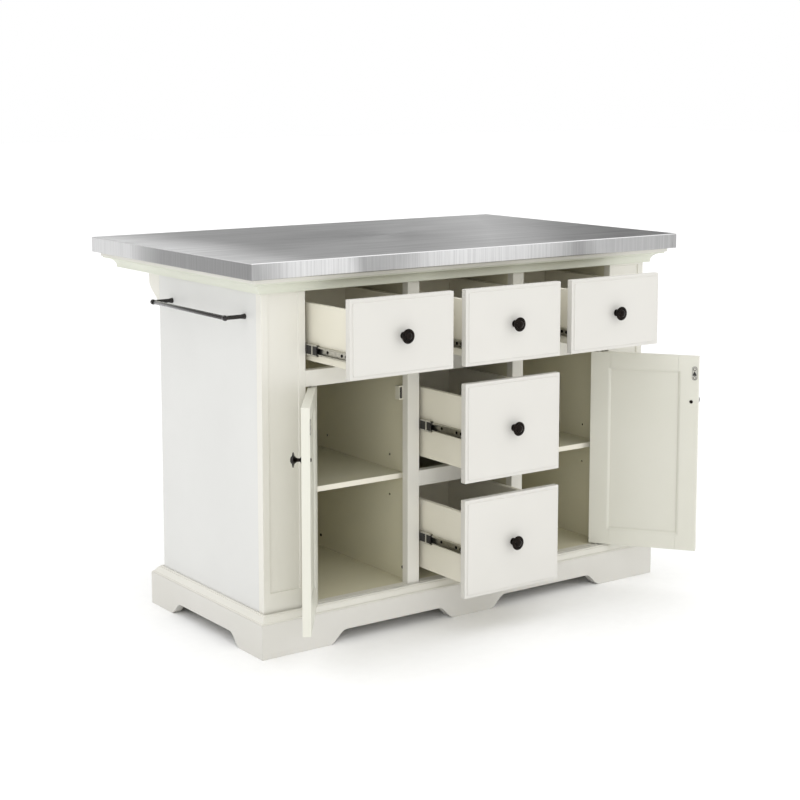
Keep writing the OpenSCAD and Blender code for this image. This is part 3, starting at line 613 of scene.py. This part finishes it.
def mitred_board(bm, half, thickness, inset, arches, place):
    """A board whose outer face runs from -half to half, and whose ends are mitred by inset."""
    under = [point for start, end in arches for point in arch_points(start, end)]
    outline = [(-half, 0)] + under + [(half, 0), (half, board_top), (-half, board_top)]
    outer = [place(u, 0, v) for u, v in outline]
    inner = [place(max(-half + inset, min(half - inset, u)), thickness, v) for u, v in outline]
    join_rings(bm, [outer, inner])


front_half, end_half = plinth_high.x, (plinth_high.y - plinth_low.y) / 2
middle_y = (plinth_high.y + plinth_low.y) / 2
centre_foot, end_foot, side_foot = 56 * MM, 183 * MM, 102 * MM
long_arches = [(-front_half + end_foot, -centre_foot), (centre_foot, front_half - end_foot)]
end_arches = [(-end_half + side_foot, end_half - side_foot)]
bm = bmesh.new()
mitred_board(bm, front_half, front_t, end_t, long_arches, lambda u, d, v: (u, plinth_low.y + d, v))
mitred_board(bm, front_half, front_t, end_t, long_arches, lambda u, d, v: (u, plinth_high.y - d, v))
mitred_board(bm, end_half, end_t, front_t, end_arches, lambda u, d, v: (end_high.x - d, middle_y + u, v))
mitred_board(bm, end_half, end_t, front_t, end_arches, lambda u, d, v: (end_low.x + d, middle_y + u, v))
round_arrises(piece("plinth_boards", bm, plinth_lacquer_painted_light, "cabinet",
                    ["plinth_long", "plinth_ends"]))


def plinth_ring(inset, height):
    x, y0, y1 = front_half - inset, plinth_low.y + inset, plinth_high.y - inset
    return [(-x, y0, height), (x, y0, height), (x, y1, height), (-x, y1, height)]


cap_curve = s_shoulder(cap_d - step, cap_h - 2 * step, 14)[1:]
cap_section = [(cap_d + cap_tuck, board_top), (step, board_top), (step, board_top + step)]
cap_section += [(step + u, board_top + step + v) for u, v in cap_curve]
cap_section += [(cap_d, plinth_high.z), (cap_d + cap_tuck, plinth_high.z)]
bm = bmesh.new()
join_rings(bm, [plinth_ring(inset, height) for inset, height in cap_section], closed=True)
piece("plinth_moulding", bm, frame_lacquer_painted_light, "cabinet")
print("plinth boards and moulding made")

# %% [markdown]
# ## The corbels
# A bracket with a square nose and an S-shaped underside carries each end of the overhang. It
# is one thick block, sawn to the outline, so it is an outline pushed along X.

# %% Saw the corbels
corbel_low, corbel_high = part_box("corbels")
corbel_w = 44 * MM
reach, drop = corbel_high.y - corbel_low.y, corbel_high.z - corbel_low.z
nose = drop / 4
sawn = s_shoulder(drop - nose, reach, 20)
side = [(corbel_low.y, corbel_high.z), (corbel_high.y, corbel_high.z)]
side += [(corbel_high.y - v, corbel_high.z - nose - u) for u, v in sawn]
bm = bmesh.new()
for x in (corbel_low.x, corbel_high.x - corbel_w):
    prism(bm, [[(x, y, z) for y, z in side]], Vector((corbel_w, 0, 0)))
round_arrises(piece("corbel_brackets", bm, frame_lacquer_painted_light, "cabinet", ["corbels"]))
print("corbels reach", round(reach, 3), "m behind the body")

# %% [markdown]
# ## Screws with a cross recess
# Screws show on the slides, the doors and the dividers. Each head is a low turned dome. From
# here its cross recess is a small dark star, so the dome's middle is dished, and two crossed
# bars stand in the dish and break up its shine.

# %% A screw head
def screw(bm, place, radius, height):
    """A pan head on z = 0 with its middle dished, and a raised star inside the dish."""
    dome = [(radius, 0), (radius, height * 0.35), (radius * 0.92, height * 0.75),
            (radius * 0.72, height), (radius * 0.45, height), (radius * 0.4, height * 0.35),
            (radius * 0.02, height * 0.3)]
    turned(bm, dome, place, 24)
    bar_w, bar_l = radius * 0.13, radius * 0.43
    bar_foot, bar_h = height * 0.28, height * 0.62
    corners = [(-bar_l, -bar_w), (bar_l, -bar_w), (bar_l, bar_w), (-bar_l, bar_w)]
    for turn in (45, 135):
        spin = place @ Matrix.Rotation(radians(turn), 4, "Z")
        prism(bm, [[spin @ Vector((x, y, bar_foot)) for x, y in corners]],
              spin.to_3x3() @ Vector((0, 0, bar_h)))


def facing(origin, direction):
    """A placement that puts the local Z axis along direction, at origin."""
    turn = Vector(direction).to_track_quat("Z", "Y").to_matrix().to_4x4()
    return Matrix.Translation(origin) @ turn


low_screws, high_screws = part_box("panel_screws")
screw_r = (high_screws.z - low_screws.z) / 2
divider_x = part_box("dividers")[1].x
bm = bmesh.new()
for side in (-1, 1):
    for y in (low_screws.y + screw_r, high_screws.y - screw_r):
        at = (side * divider_x, y, low_screws.z + screw_r)
        screw(bm, facing(at, (side, 0, 0)), screw_r, 1.8 * MM)
piece("divider_screws", bm, bronze, "cabinet", ["panel_screws"])
print("divider screws of", round(2000 * screw_r, 1), "mm")

# %% [markdown]
# ## Knobs
# Each knob is turned from one bar: a foot that stands on the wood, a slim waist, a cone that
# opens into a thin disc, and a small dome inside a ring that was cut into the disc. A turned
# profile is the natural way to make it. Behind the front it is held by a screw, whose head
# shows inside the doors and drawer boxes.

# %% Turn the knobs
def knob_profile(radius, height, foot_r, neck_r):
    """(radius, height) points: foot, waist, cone, thin disc with a ring cut, and a dome."""
    cone_r, dome_r, rim_r, tip_r = radius * 0.54, radius * 0.5, foot_r * 0.94, 0.02 * MM
    foot = [(tip_r, 0), (foot_r, 0), (foot_r, height * 0.03), (rim_r, height * 0.06)]
    waist = [(neck_r + (rim_r - neck_r) * (1 - sin(radians(a))) ** 1.6, height * (0.06 + 0.14 * a / 90))
             for a in range(15, 91, 15)]
    cone = [(neck_r + (cone_r - neck_r) * (k / 6) ** 1.5, height * (0.36 + 0.26 * k / 6))
            for k in range(7)]
    disc = [(0.93, 0.68), (0.985, 0.70), (1, 0.725), (1, 0.745), (0.985, 0.77), (0.93, 0.79),
            (0.72, 0.825), (0.66, 0.828), (0.62, 0.80), (0.58, 0.80), (0.53, 0.83)]
    dome = [(dome_r * cos(radians(a)), height * (0.845 + 0.155 * sin(radians(a))))
            for a in range(0, 86, 12)]
    return foot + waist + cone + [(radius * r, height * h) for r, h in disc] + dome + [(tip_r, height)]


knob_r, knob_h, knob_foot, knob_neck = 17 * MM, 25.5 * MM, 8.5 * MM, 4 * MM
knob_screw_r, knob_screw_h, shank_r = 4.5 * MM, 2.2 * MM, 2 * MM


def fit_knob(owner, x, z, face, back, place=Matrix.Identity(4)):
    """A knob on the face of the wood, its shank, and its screw's head on the wood's back."""
    outward = place @ facing((x, face, z), (0, -1, 0))
    inward = place @ facing((x, face, z), (0, 1, 0))
    bm = bmesh.new()
    turned(bm, knob_profile(knob_r, knob_h, knob_foot, knob_neck), outward, 64)
    screw(bm, place @ facing((x, back, z), (0, 1, 0)), knob_screw_r, knob_screw_h)
    turned(bm, [(shank_r, 0), (shank_r, back - face)], inward, 16)
    piece(owner + "_turned_knob", bm, bronze, owner, [owner + "_knob"])


for owner in drawers:
    low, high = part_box(owner + "_knob")
    x, z = (low.x + high.x) / 2, (low.z + high.z) / 2
    fit_knob(owner, x, z, low.y + knob_h, high.y - knob_screw_h)
print("turned", len(drawers), "drawer knobs")

# %% [markdown]
# ## The doors' own frames
# The doors stand open, so nothing on them lines up with X or Y. On a real bench the maker
# would lay the door flat. We do the same: a matrix takes points from a shut door that lies
# with its pivot on the origin to the open door, and it comes from the hinge joint in the
# frame. The right door is the left one mirrored.

# %% Where each door stands
joints = {j["name"]: j for j in frame["joints"]}


def door_placement(owner):
    hinge = joints[owner + "_hinge"]
    opened = -min(hinge["range_deg"])
    side = -1 if owner == "door_left" else 1
    pivot = Vector((hinge["pos_m"][0], hinge["pos_m"][1], 0))
    mirrored = Matrix.Scale(-1, 4, (1, 0, 0)) if side > 0 else Matrix.Identity(4)
    return Matrix.Translation(pivot) @ Matrix.Rotation(radians(side * opened), 4, "Z") @ mirrored


def lying_box(owner, name):
    """A door node's box as the door lies shut with its pivot on the origin."""
    back = door_placement(owner).inverted()
    points = [back @ v.co for v in nodes[name].data.vertices]
    return [Vector([pick(p[i] for p in points) for i in range(3)]) for pick in (min, max)]


for owner in doors:
    low, high = lying_box(owner, owner + "_frame")
    print(owner, "is", [round(1000 * v, 1) for v in high - low], "mm")

# %% [markdown]
# ## Door knobs, pivots and striker plates
# Each door has one knob, a flanged bush at each end of its hinge edge, and a striker plate
# that meets the magnetic catch. The plate is a thin pressing with rounded ends, a dished
# screw at each end and a dark rubber wedge between them that quiets the door. A black gasket
# under the plate stands out round it, and seen from the side it is a thin dark line.

# %% Fit the doors' metalwork
def rounded_plate(width, height, radius, steps=4):
    """Outline of a plate about the origin, counter-clockwise."""
    points = []
    for sx, sy, start in ((1, -1, -90), (1, 1, 0), (-1, 1, 90), (-1, -1, 180)):
        cx, cy = sx * (width / 2 - radius), sy * (height / 2 - radius)
        points += [(cx + u, cy + v) for u, v in arc(radius, start, start + 90, steps)]
    return points


def oval(x, y, radius, other_radius=None, steps=20):
    """Points of an oval about (x, y), or of a circle when only one radius is given."""
    up = other_radius or radius
    turns = [2 * pi * k / steps for k in range(steps)]
    return [(x + radius * cos(turn), y + up * sin(turn)) for turn in turns]


def stood(points, place):
    """Flat (x, z) points on the local plane y = 0, placed."""
    return [place @ Vector((x, 0, z)) for x, z in points]


def bush(bm, place):
    """A flanged bush on z = 0. Its pin fills the bore, so the bush is closed there."""
    bore, barrel, flange, rim = 3.2 * MM, 4.95 * MM, 7.5 * MM, 7.3 * MM
    turned(bm, [(bore, 0), (barrel, 0), (barrel, 17 * MM), (rim, 18 * MM), (flange, 18.2 * MM),
                (flange, 19 * MM), (rim, 19.2 * MM), (bore, 19.2 * MM)], place, 28)


plate_w, plate_h, plate_t, plate_margin = 12 * MM, 34 * MM, 1.5 * MM, 4 * MM
gasket_t, gasket_rim, sliver = 0.8 * MM, 0.8 * MM, 0.01 * MM
plate_holes, bush_sunk = (11 * MM, -11.5 * MM), 18 * MM
wedge_rise, wedge_t = 1.2 * MM, 0.4 * MM
wedge = [(x * MM, z * MM) for x, z in ((-4.8, -6.2), (4.8, -6.2), (4.8, -2.5), (0, 6), (-4.8, -2.5))]
catch_low, catch_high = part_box("catches")
catch_z = (catch_low.z + catch_high.z) / 2


def fit_striker(owner, at):
    """The striker's screws, wedge and gasket. The placement is on the door's inner face."""
    outward = at.to_3x3()
    screws, pad = bmesh.new(), bmesh.new()
    for rise in plate_holes:
        screw(screws, at @ facing((0, gasket_t, rise), (0, 1, 0)), 3.0 * MM, 0.65 * MM)
    piece(owner + "_striker_screws", screws, zinc, owner)
    on_plate = at @ Matrix.Translation((0, wedge_rise, 0))
    prism(pad, [stood(wedge, on_plate)], outward @ Vector((0, wedge_t, 0)))
    gasket = rounded_plate(plate_w + 2 * gasket_rim, plate_h + 2 * gasket_rim, 6.3 * MM, 8)
    prism(pad, [stood(gasket, at)], outward @ Vector((0, gasket_t - sliver, 0)))
    piece(owner + "_striker_pad", pad, acetal, owner)


for owner in doors:
    place = door_placement(owner)
    frame_low, frame_high = lying_box(owner, owner + "_frame")
    low, high = lying_box(owner, owner + "_knob")
    fit_knob(owner, (low.x + high.x) / 2, (low.z + high.z) / 2, frame_low.y, frame_high.y, place)

    plate_x = frame_high.x - plate_margin - plate_w / 2
    at = place @ Matrix.Translation((plate_x, frame_high.y, catch_z))
    over_gasket = at @ Matrix.Translation((0, gasket_t, 0))
    outlines = [rounded_plate(plate_w, plate_h, 5.5 * MM, 8)]
    outlines += [oval(0, rise, 4.4 * MM, steps=28) for rise in plate_holes]
    bm = bmesh.new()
    prism(bm, [stood(points, over_gasket) for points in outlines],
          at.to_3x3() @ Vector((0, plate_t - gasket_t, 0)))
    for end, up in ((frame_high.z, 1), (frame_low.z, -1)):
        bush(bm, place @ facing((0, 0, end - up * bush_sunk), (0, 0, up)))
    piece(owner + "_metalwork", bm, zinc, owner, [owner + "_fittings"])
    fit_striker(owner, at)
print("doors fitted")

# %% [markdown]
# ## Magnetic catches
# A catch is a small white case, open at the front, round a black holder with the magnet's two
# pole plates. The case is a frame-shaped outline pushed back, which leaves a true opening for
# the holder to sit in.

# %% Build the catches
catch_w, side_wall, end_wall = 10.5 * MM, 1.3 * MM, 3.5 * MM
catch_h, catch_depth = catch_high.z - catch_low.z, catch_high.y - catch_low.y
packer_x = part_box("spacers")[1].x
case = rounded_plate(catch_w, catch_h, 2 * MM)
opening = rounded_plate(catch_w - 2 * side_wall, catch_h - 2 * end_wall, 1 * MM)
holder = [(u * 0.995, v * 0.995) for u, v in opening]
holder_back, pole_back, pole_depth, pole_x = 0.4 * MM, 0.1 * MM, 2 * MM, 2.6 * MM
pole_plate = rounded_plate(0.8 * MM, catch_h - 10 * MM, 0.3 * MM)
cases, holders, poles = bmesh.new(), bmesh.new(), bmesh.new()
for x in (-packer_x - catch_w / 2, packer_x + catch_w / 2):
    at = Matrix.Translation((x, catch_low.y, catch_z))
    back = Vector((0, catch_depth, 0))
    prism(cases, [stood(case, at), stood(opening, at)], back)
    prism(holders, [stood(holder, at @ Matrix.Translation((0, holder_back, 0)))], back * 0.88)
    for u in (-pole_x, pole_x):
        prism(poles, [stood(pole_plate, at @ Matrix.Translation((u, pole_back, 0)))],
              Vector((0, pole_depth, 0)))
piece("catch_cases", cases, white_acetal, "cabinet", ["catches"])
piece("catch_holders", holders, acetal, "cabinet")
piece("catch_pole_plates", poles, zinc, "cabinet")
print("two catches of", round(1000 * catch_h, 1), "mm")

# %% [markdown]
# ## Towel bar
# A bronze bar on two turned posts, each with a flared foot on the side panel and a ring head
# that the bar runs through. A small rounded cap closes each end of the bar.

# %% Turn the towel bar
bar_low, bar_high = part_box("towel_bar")
bar_r = (bar_high.x - bar_low.x) / 2
bar_x, bar_z = (bar_low.x + bar_high.x) / 2, (bar_low.z + bar_high.z) / 2
bar_len = bar_high.y - bar_low.y
cap = [(bar_r * 0.6, 0), (bar_r * 0.88, 0.4 * MM), (bar_r, 1.6 * MM)]
bar = cap + [(r, bar_len - h) for r, h in reversed(cap)]
bm = bmesh.new()
turned(bm, bar, facing((bar_x, bar_low.y, bar_z), (0, 1, 0)), 40)
piece("towel_bar_turned", bm, waxed_bronze, "cabinet", ["towel_bar"])

posts_low, posts_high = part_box("towel_posts")
head_r, post_r, foot_r = 6.5 * MM, 5 * MM, 6.5 * MM
foot_h, flare_h = 2 * MM, 12 * MM
post = [(foot_r, 0), (foot_r, foot_h)]
post += [(post_r + (foot_r - post_r) * (1 - sin(radians(a))), foot_h + flare_h * a / 90)
         for a in range(10, 91, 10)]
post += [(post_r, posts_high.x - bar_x - bar_r)]
ring_bore, ring_edge = bar_r + 0.05 * MM, head_r - 1.2 * MM
half_ring = [(head_r, 3.0 * MM), (ring_edge, 5 * MM), (ring_bore, 4.8 * MM)]
ring = [(r, -h) for r, h in reversed(half_ring)] + half_ring
bm = bmesh.new()
for y in (posts_low.y + foot_r, posts_high.y - foot_r):
    turned(bm, post, facing((posts_high.x, y, bar_z), (-1, 0, 0)), 36)
    along_bar = facing((bar_x, y, bar_z), (0, 1, 0))
    rings = [[along_bar @ Vector((u, v, h)) for u, v in oval(0, 0, r, steps=36)] for r, h in ring]
    join_rings(bm, rings, closed=True)
piece("towel_bar_posts", bm, waxed_bronze, "cabinet", ["towel_posts"])
print("towel bar", round(1000 * bar_len), "mm long")

# %% [markdown]
# ## Shelf pins and pivot pins
# Each shelf rests on four steel pins with a small collar against the wall, and each door
# turns on two pins with a flange on the rail.

# %% Turn the pins
side_wall_t = 16 * MM


def pin_places():
    """Each shelf pin's middle, the way it points out of the wall, and its radius."""
    low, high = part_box("shelf_pins")
    radius = (high.z - low.z) / 2
    outer_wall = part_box("inner_sides")[1].x - side_wall_t
    for side in (-1, 1):
        for y in (low.y + radius, high.y - radius):
            yield Vector((side * outer_wall, y, low.z + radius)), (-side, 0, 0), radius
            yield Vector((side * divider_x, y, low.z + radius)), (side, 0, 0), radius


bm = bmesh.new()
for at, direction, radius in pin_places():
    collar = radius * 1.5
    turned(bm, [(radius, -7.9 * MM), (radius, 0.1 * MM), (collar, 0.1 * MM), (collar, 1.1 * MM),
                (radius, 1.3 * MM), (radius, 8.4 * MM), (radius * 0.8, 9 * MM)],
           facing(at, direction), 24)
piece("shelf_pins_turned", bm, zinc, "cabinet", ["shelf_pins"])

# The spare holes above and below each pin get a lining of bare board darkened as painted shade.
hole_pitch = 50 * MM
bm = bmesh.new()
for at, direction, radius in pin_places():
    bore = radius + 0.07 * MM
    lining = bore - 0.05 * MM
    for rise in (-hole_pitch, hole_pitch):
        turned(bm, [(bore, -8.5 * MM), (bore, -0.3 * MM), (lining, -0.3 * MM), (lining, -6 * MM),
                    (0.05 * MM, -6 * MM)], facing(at + Vector((0, 0, rise)), direction), 24)
piece("pin_hole_shade_linings", bm, pin_hole_painted_shade_board, "cabinet")
dress("pivot_pins", zinc, 0)
print("pins made")

# %% [markdown]
# ## Drawer slides
# A ball-bearing slide is three rolled channels, one inside the other: one screwed to the cabinet, one in
# the middle and one on the drawer box. Rolling can't make a sharp corner, so each lip is a curl that
# holds the balls. The channels are drawn as sections with rounded curls and pushed along Y. Near-black
# screws hold the inner member to the box, and their dark also stands as painted shade for the shadow in
# their holes. The middle member ends in two black stops that hold the cage of balls.

# %% Roll the slides
def channel_section(web, lip, height, curl, steel):
    """Section (u, v) of a channel: web at u = web, curled lips out to u = lip."""
    way = 1 if lip > web else -1
    half, inner = height / 2, curl - steel
    outer_curl = [(lip - way * curl + way * u, half - curl + v) for u, v in arc(curl, 90, -20, 7)]
    inner_curl = [(lip - way * curl + way * u, half - curl + v) for u, v in arc(inner, -20, 90, 7)]
    top = [(web, half - 0.8 * MM), (web + way * 0.8 * MM, half)] + outer_curl + inner_curl
    top += [(web + way * steel, half - steel)]
    return top + [(u, -v) for u, v in reversed(top)]


def channel(bm, section, wall_x, side, z, y0, y1):
    """Pushes a section along Y; u runs from the wall towards the drawer box."""
    loop = [(wall_x + side * u, y0, z + v) for u, v in section]
    prism(bm, [loop], Vector((0, y1 - y0, 0)))


def web_plate(bm, x, thick, z, half, y0, y1, holes):
    """A flat strip across X, from y0 to y1, with holes given as (y, height) outlines."""
    outline = [(y0, -half), (y1, -half), (y1, half), (y0, half)]
    loops = [[(x, y, z + v) for y, v in loop] for loop in [outline] + holes]
    prism(bm, loops, Vector((thick, 0, 0)))


slide_t, steel_t = 12.7 * MM, 1.2 * MM
outer_section = channel_section(0, 9.1 * MM, 35 * MM, 3.1 * MM, steel_t)
middle_section = channel_section(2.0 * MM, 10.7 * MM, 28 * MM, 3.0 * MM, steel_t)
inner_section = channel_section(slide_t, 4.0 * MM, 21 * MM, 2.6 * MM, steel_t)
inner_lip = inner_section[:len(inner_section) // 2] + [(slide_t, 10.5 * MM - steel_t)]
inner_web, slot_setback, screw_setbacks = 9.3 * MM, 215 * MM, (9 * MM, 26 * MM, 84 * MM)
half_stop = [(3.3, 8.6), (9.0, 8.6), (9.0, 10), (1.5, 10)]
stop_section = [(u * MM, v * MM) for u, v in [(u, -v) for u, v in reversed(half_stop)] + half_stop]
stop_runs = ((-1 * MM, 16 * MM), (21 * MM, 20 * MM))
outers_low, outers_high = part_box("slide_outers")
outer_bm = bmesh.new()
for owner in drawers:
    box_low, box_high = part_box(owner + "_box")
    mid_low, mid_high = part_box(owner + "_slide_middles")
    run_low, run_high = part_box(owner + "_runners")
    z = (run_low.z + run_high.z) / 2
    bay_mid = (box_low.x + box_high.x) / 2
    wall = (box_high.x - box_low.x) / 2 + slide_t
    middle_bm, runner_bm, stops, screws = bmesh.new(), bmesh.new(), bmesh.new(), bmesh.new()
    for side in (-1, 1):
        wall_x = bay_mid + side * wall
        inward = -side
        channel(outer_bm, outer_section, wall_x, inward, z, outers_low.y, outers_high.y)
        channel(middle_bm, middle_section, wall_x, inward, z, mid_low.y, mid_high.y)
        for flip in (1, -1):
            lip_loop = [(u, flip * v) for u, v in inner_lip]
            channel(runner_bm, lip_loop, wall_x, inward, z, run_low.y, run_high.y)
        web_x = wall_x + inward * (slide_t - steel_t)
        slot = oval(run_low.y + slot_setback, 0, 4.0 * MM, 2.2 * MM)
        web_plate(runner_bm, web_x, inward * steel_t, z, inner_web, run_low.y, run_high.y, [slot])
        # The screws' near-black also stands as painted shade for the shadow in their holes.
        for setback in screw_setbacks:
            at = (web_x, run_low.y + setback, z)
            screw(screws, facing(at, (-inward, 0, 0)), 3.8 * MM, 1.4 * MM)
        for start, length in stop_runs:
            stop_y = mid_low.y + start
            channel(stops, stop_section, wall_x, inward, z, stop_y, stop_y + length)
    rider = owner.replace("drawer", "slide")
    piece(owner + "_middle_members", middle_bm, zinc, rider, [owner + "_slide_middles"])
    piece(owner + "_ball_stops", stops, acetal, rider)
    piece(owner + "_inner_members", runner_bm, zinc, owner, [owner + "_runners"])
    piece(owner + "_slide_screws", screws, bronze, owner)
piece("cabinet_slide_members", outer_bm, zinc, "cabinet", ["slide_outers"])
print("rolled", 2 * len(drawers), "slides")

# %% [markdown]
# ## Floor and light
# The photograph was taken in a white studio: a white sweep, no hard shadow, and large soft
# boxes. We use a matt white floor, a white world for the fill, one large area light from the
# front left, a weaker one from the right, and a very broad sun overhead that keeps the floor
# as white as the world right up to the horizon. Over the sweep behind the unit the hall is
# dim, and the steel top mirrors it: without it the top would be as white as the floor.

# %% Lay the floor and hang the lights
def studio_paper():
    made, tree, shader = new_material("studio paper, matt white")
    fibres = waves(tree, 30, 3).outputs["Fac"]
    tree.links.new(blend_colours(tree, between(tree, fibres, 0, 1), "FFFFFF", "FDFDFD"),
                   shader.inputs["Base Color"])
    shader.inputs["Roughness"].default_value = 0.9
    shader.inputs["Specular IOR Level"].default_value = 0.1
    bump(tree, shader, fibres, 0.1, 0.1)
    return made


bm = bmesh.new()
bmesh.ops.create_grid(bm, x_segments=4, y_segments=4, size=30)
floor_mesh = bpy.data.meshes.new("studio_floor")
bm.to_mesh(floor_mesh)
bm.free()
floor_mesh.materials.append(studio_paper())
floor = bpy.data.objects.new("studio_floor", floor_mesh)
bpy.context.scene.collection.objects.link(floor)

world = bpy.data.worlds.new("white studio")
world.use_nodes = True
sky_tree = world.node_tree
direction = add(sky_tree, "SeparateXYZ", {"Vector": add(sky_tree, "TexCoord").outputs["Generated"]})


def rising(value, low, high):
    """From 0 at low to 1 at high, and smooth between them."""
    made = add(sky_tree, "MapRange", {"Value": value, "From Min": low, "From Max": high},
               interpolation_type="SMOOTHSTEP")
    return made.outputs["Result"]


WHITE_SWEEP, DIM_HALL = (1, 1, 1, 1), (0.42, 0.42, 0.42, 1)
over_sweep = rising(direction.outputs["Z"], 0.175, 0.225)
under_ceiling = rising(direction.outputs["Z"], 0.75, 0.45)
behind = rising(direction.outputs["Y"], -0.1, 0.35)
band = add(sky_tree, "Math", {0: over_sweep, 1: under_ceiling}, operation="MULTIPLY").outputs["Value"]
hall = add(sky_tree, "Math", {0: band, 1: behind}, operation="MULTIPLY").outputs["Value"]
studio = add(sky_tree, "Mix", {0: hall, 6: WHITE_SWEEP, 7: DIM_HALL}, data_type="RGBA").outputs[2]
sky_tree.links.new(studio, sky_tree.nodes["Background"].inputs["Color"])
sky_tree.nodes["Background"].inputs["Strength"].default_value = 1.0
bpy.context.scene.world = world


def soft_box(name, at, aim, size, watts):
    """A rectangular area light at a place, turned towards its aim."""
    lamp = bpy.data.lights.new(name, "AREA")
    lamp.shape = "RECTANGLE"
    lamp.size, lamp.size_y = size
    lamp.energy = watts
    holder = bpy.data.objects.new(name, lamp)
    holder.location = at
    holder.rotation_euler = (Vector(aim) - Vector(at)).to_track_quat("-Z", "Y").to_euler()
    bpy.context.scene.collection.objects.link(holder)


soft_box("key", (-3.0, -3.5, 1.4), (0, 0.2, 0.4), (2.0, 1.6), 17)
soft_box("side", (3.2, -3.2, 2.2), (0, 0.2, 0.5), (2.0, 2.0), 2)
sky = bpy.data.lights.new("broad sun", "SUN")
sky.energy, sky.angle = 0.9, radians(120)
bpy.context.scene.collection.objects.link(bpy.data.objects.new("broad sun", sky))
print("lights on")

# %% [markdown]
# ## Camera
# The photograph's camera was solved from the corners of the worktop and the plinth: about
# 4.1 m away, 1.3 m up, turned 35.6 degrees and looking slightly down. The uprights are
# parallel in the photograph, as with a shifted lens, so the lens keeps a small shift.

# %% Place the camera
PHOTO_PX = 800
focal_px, shift_px = 1706.5, 100
pitch, heading = 7.34, 35.593
camera = bpy.data.cameras.new("photo camera")
camera.sensor_width = 36
camera.lens = focal_px * camera.sensor_width / PHOTO_PX
camera.shift_y = -shift_px / PHOTO_PX
camera.clip_end = 100
eye = bpy.data.objects.new("photo camera", camera)
eye.location = (-2.53247, -3.24304, 1.31096)
eye.rotation_euler = (radians(90 - pitch), 0, -radians(heading))
bpy.context.scene.collection.objects.link(eye)
bpy.context.scene.camera = eye
bpy.context.scene.view_settings.view_transform = "Standard"
print("lens", round(camera.lens, 1), "mm")

# %% [markdown]
# ## Update the scene

# %% Update the view layer
bpy.context.view_layer.update()
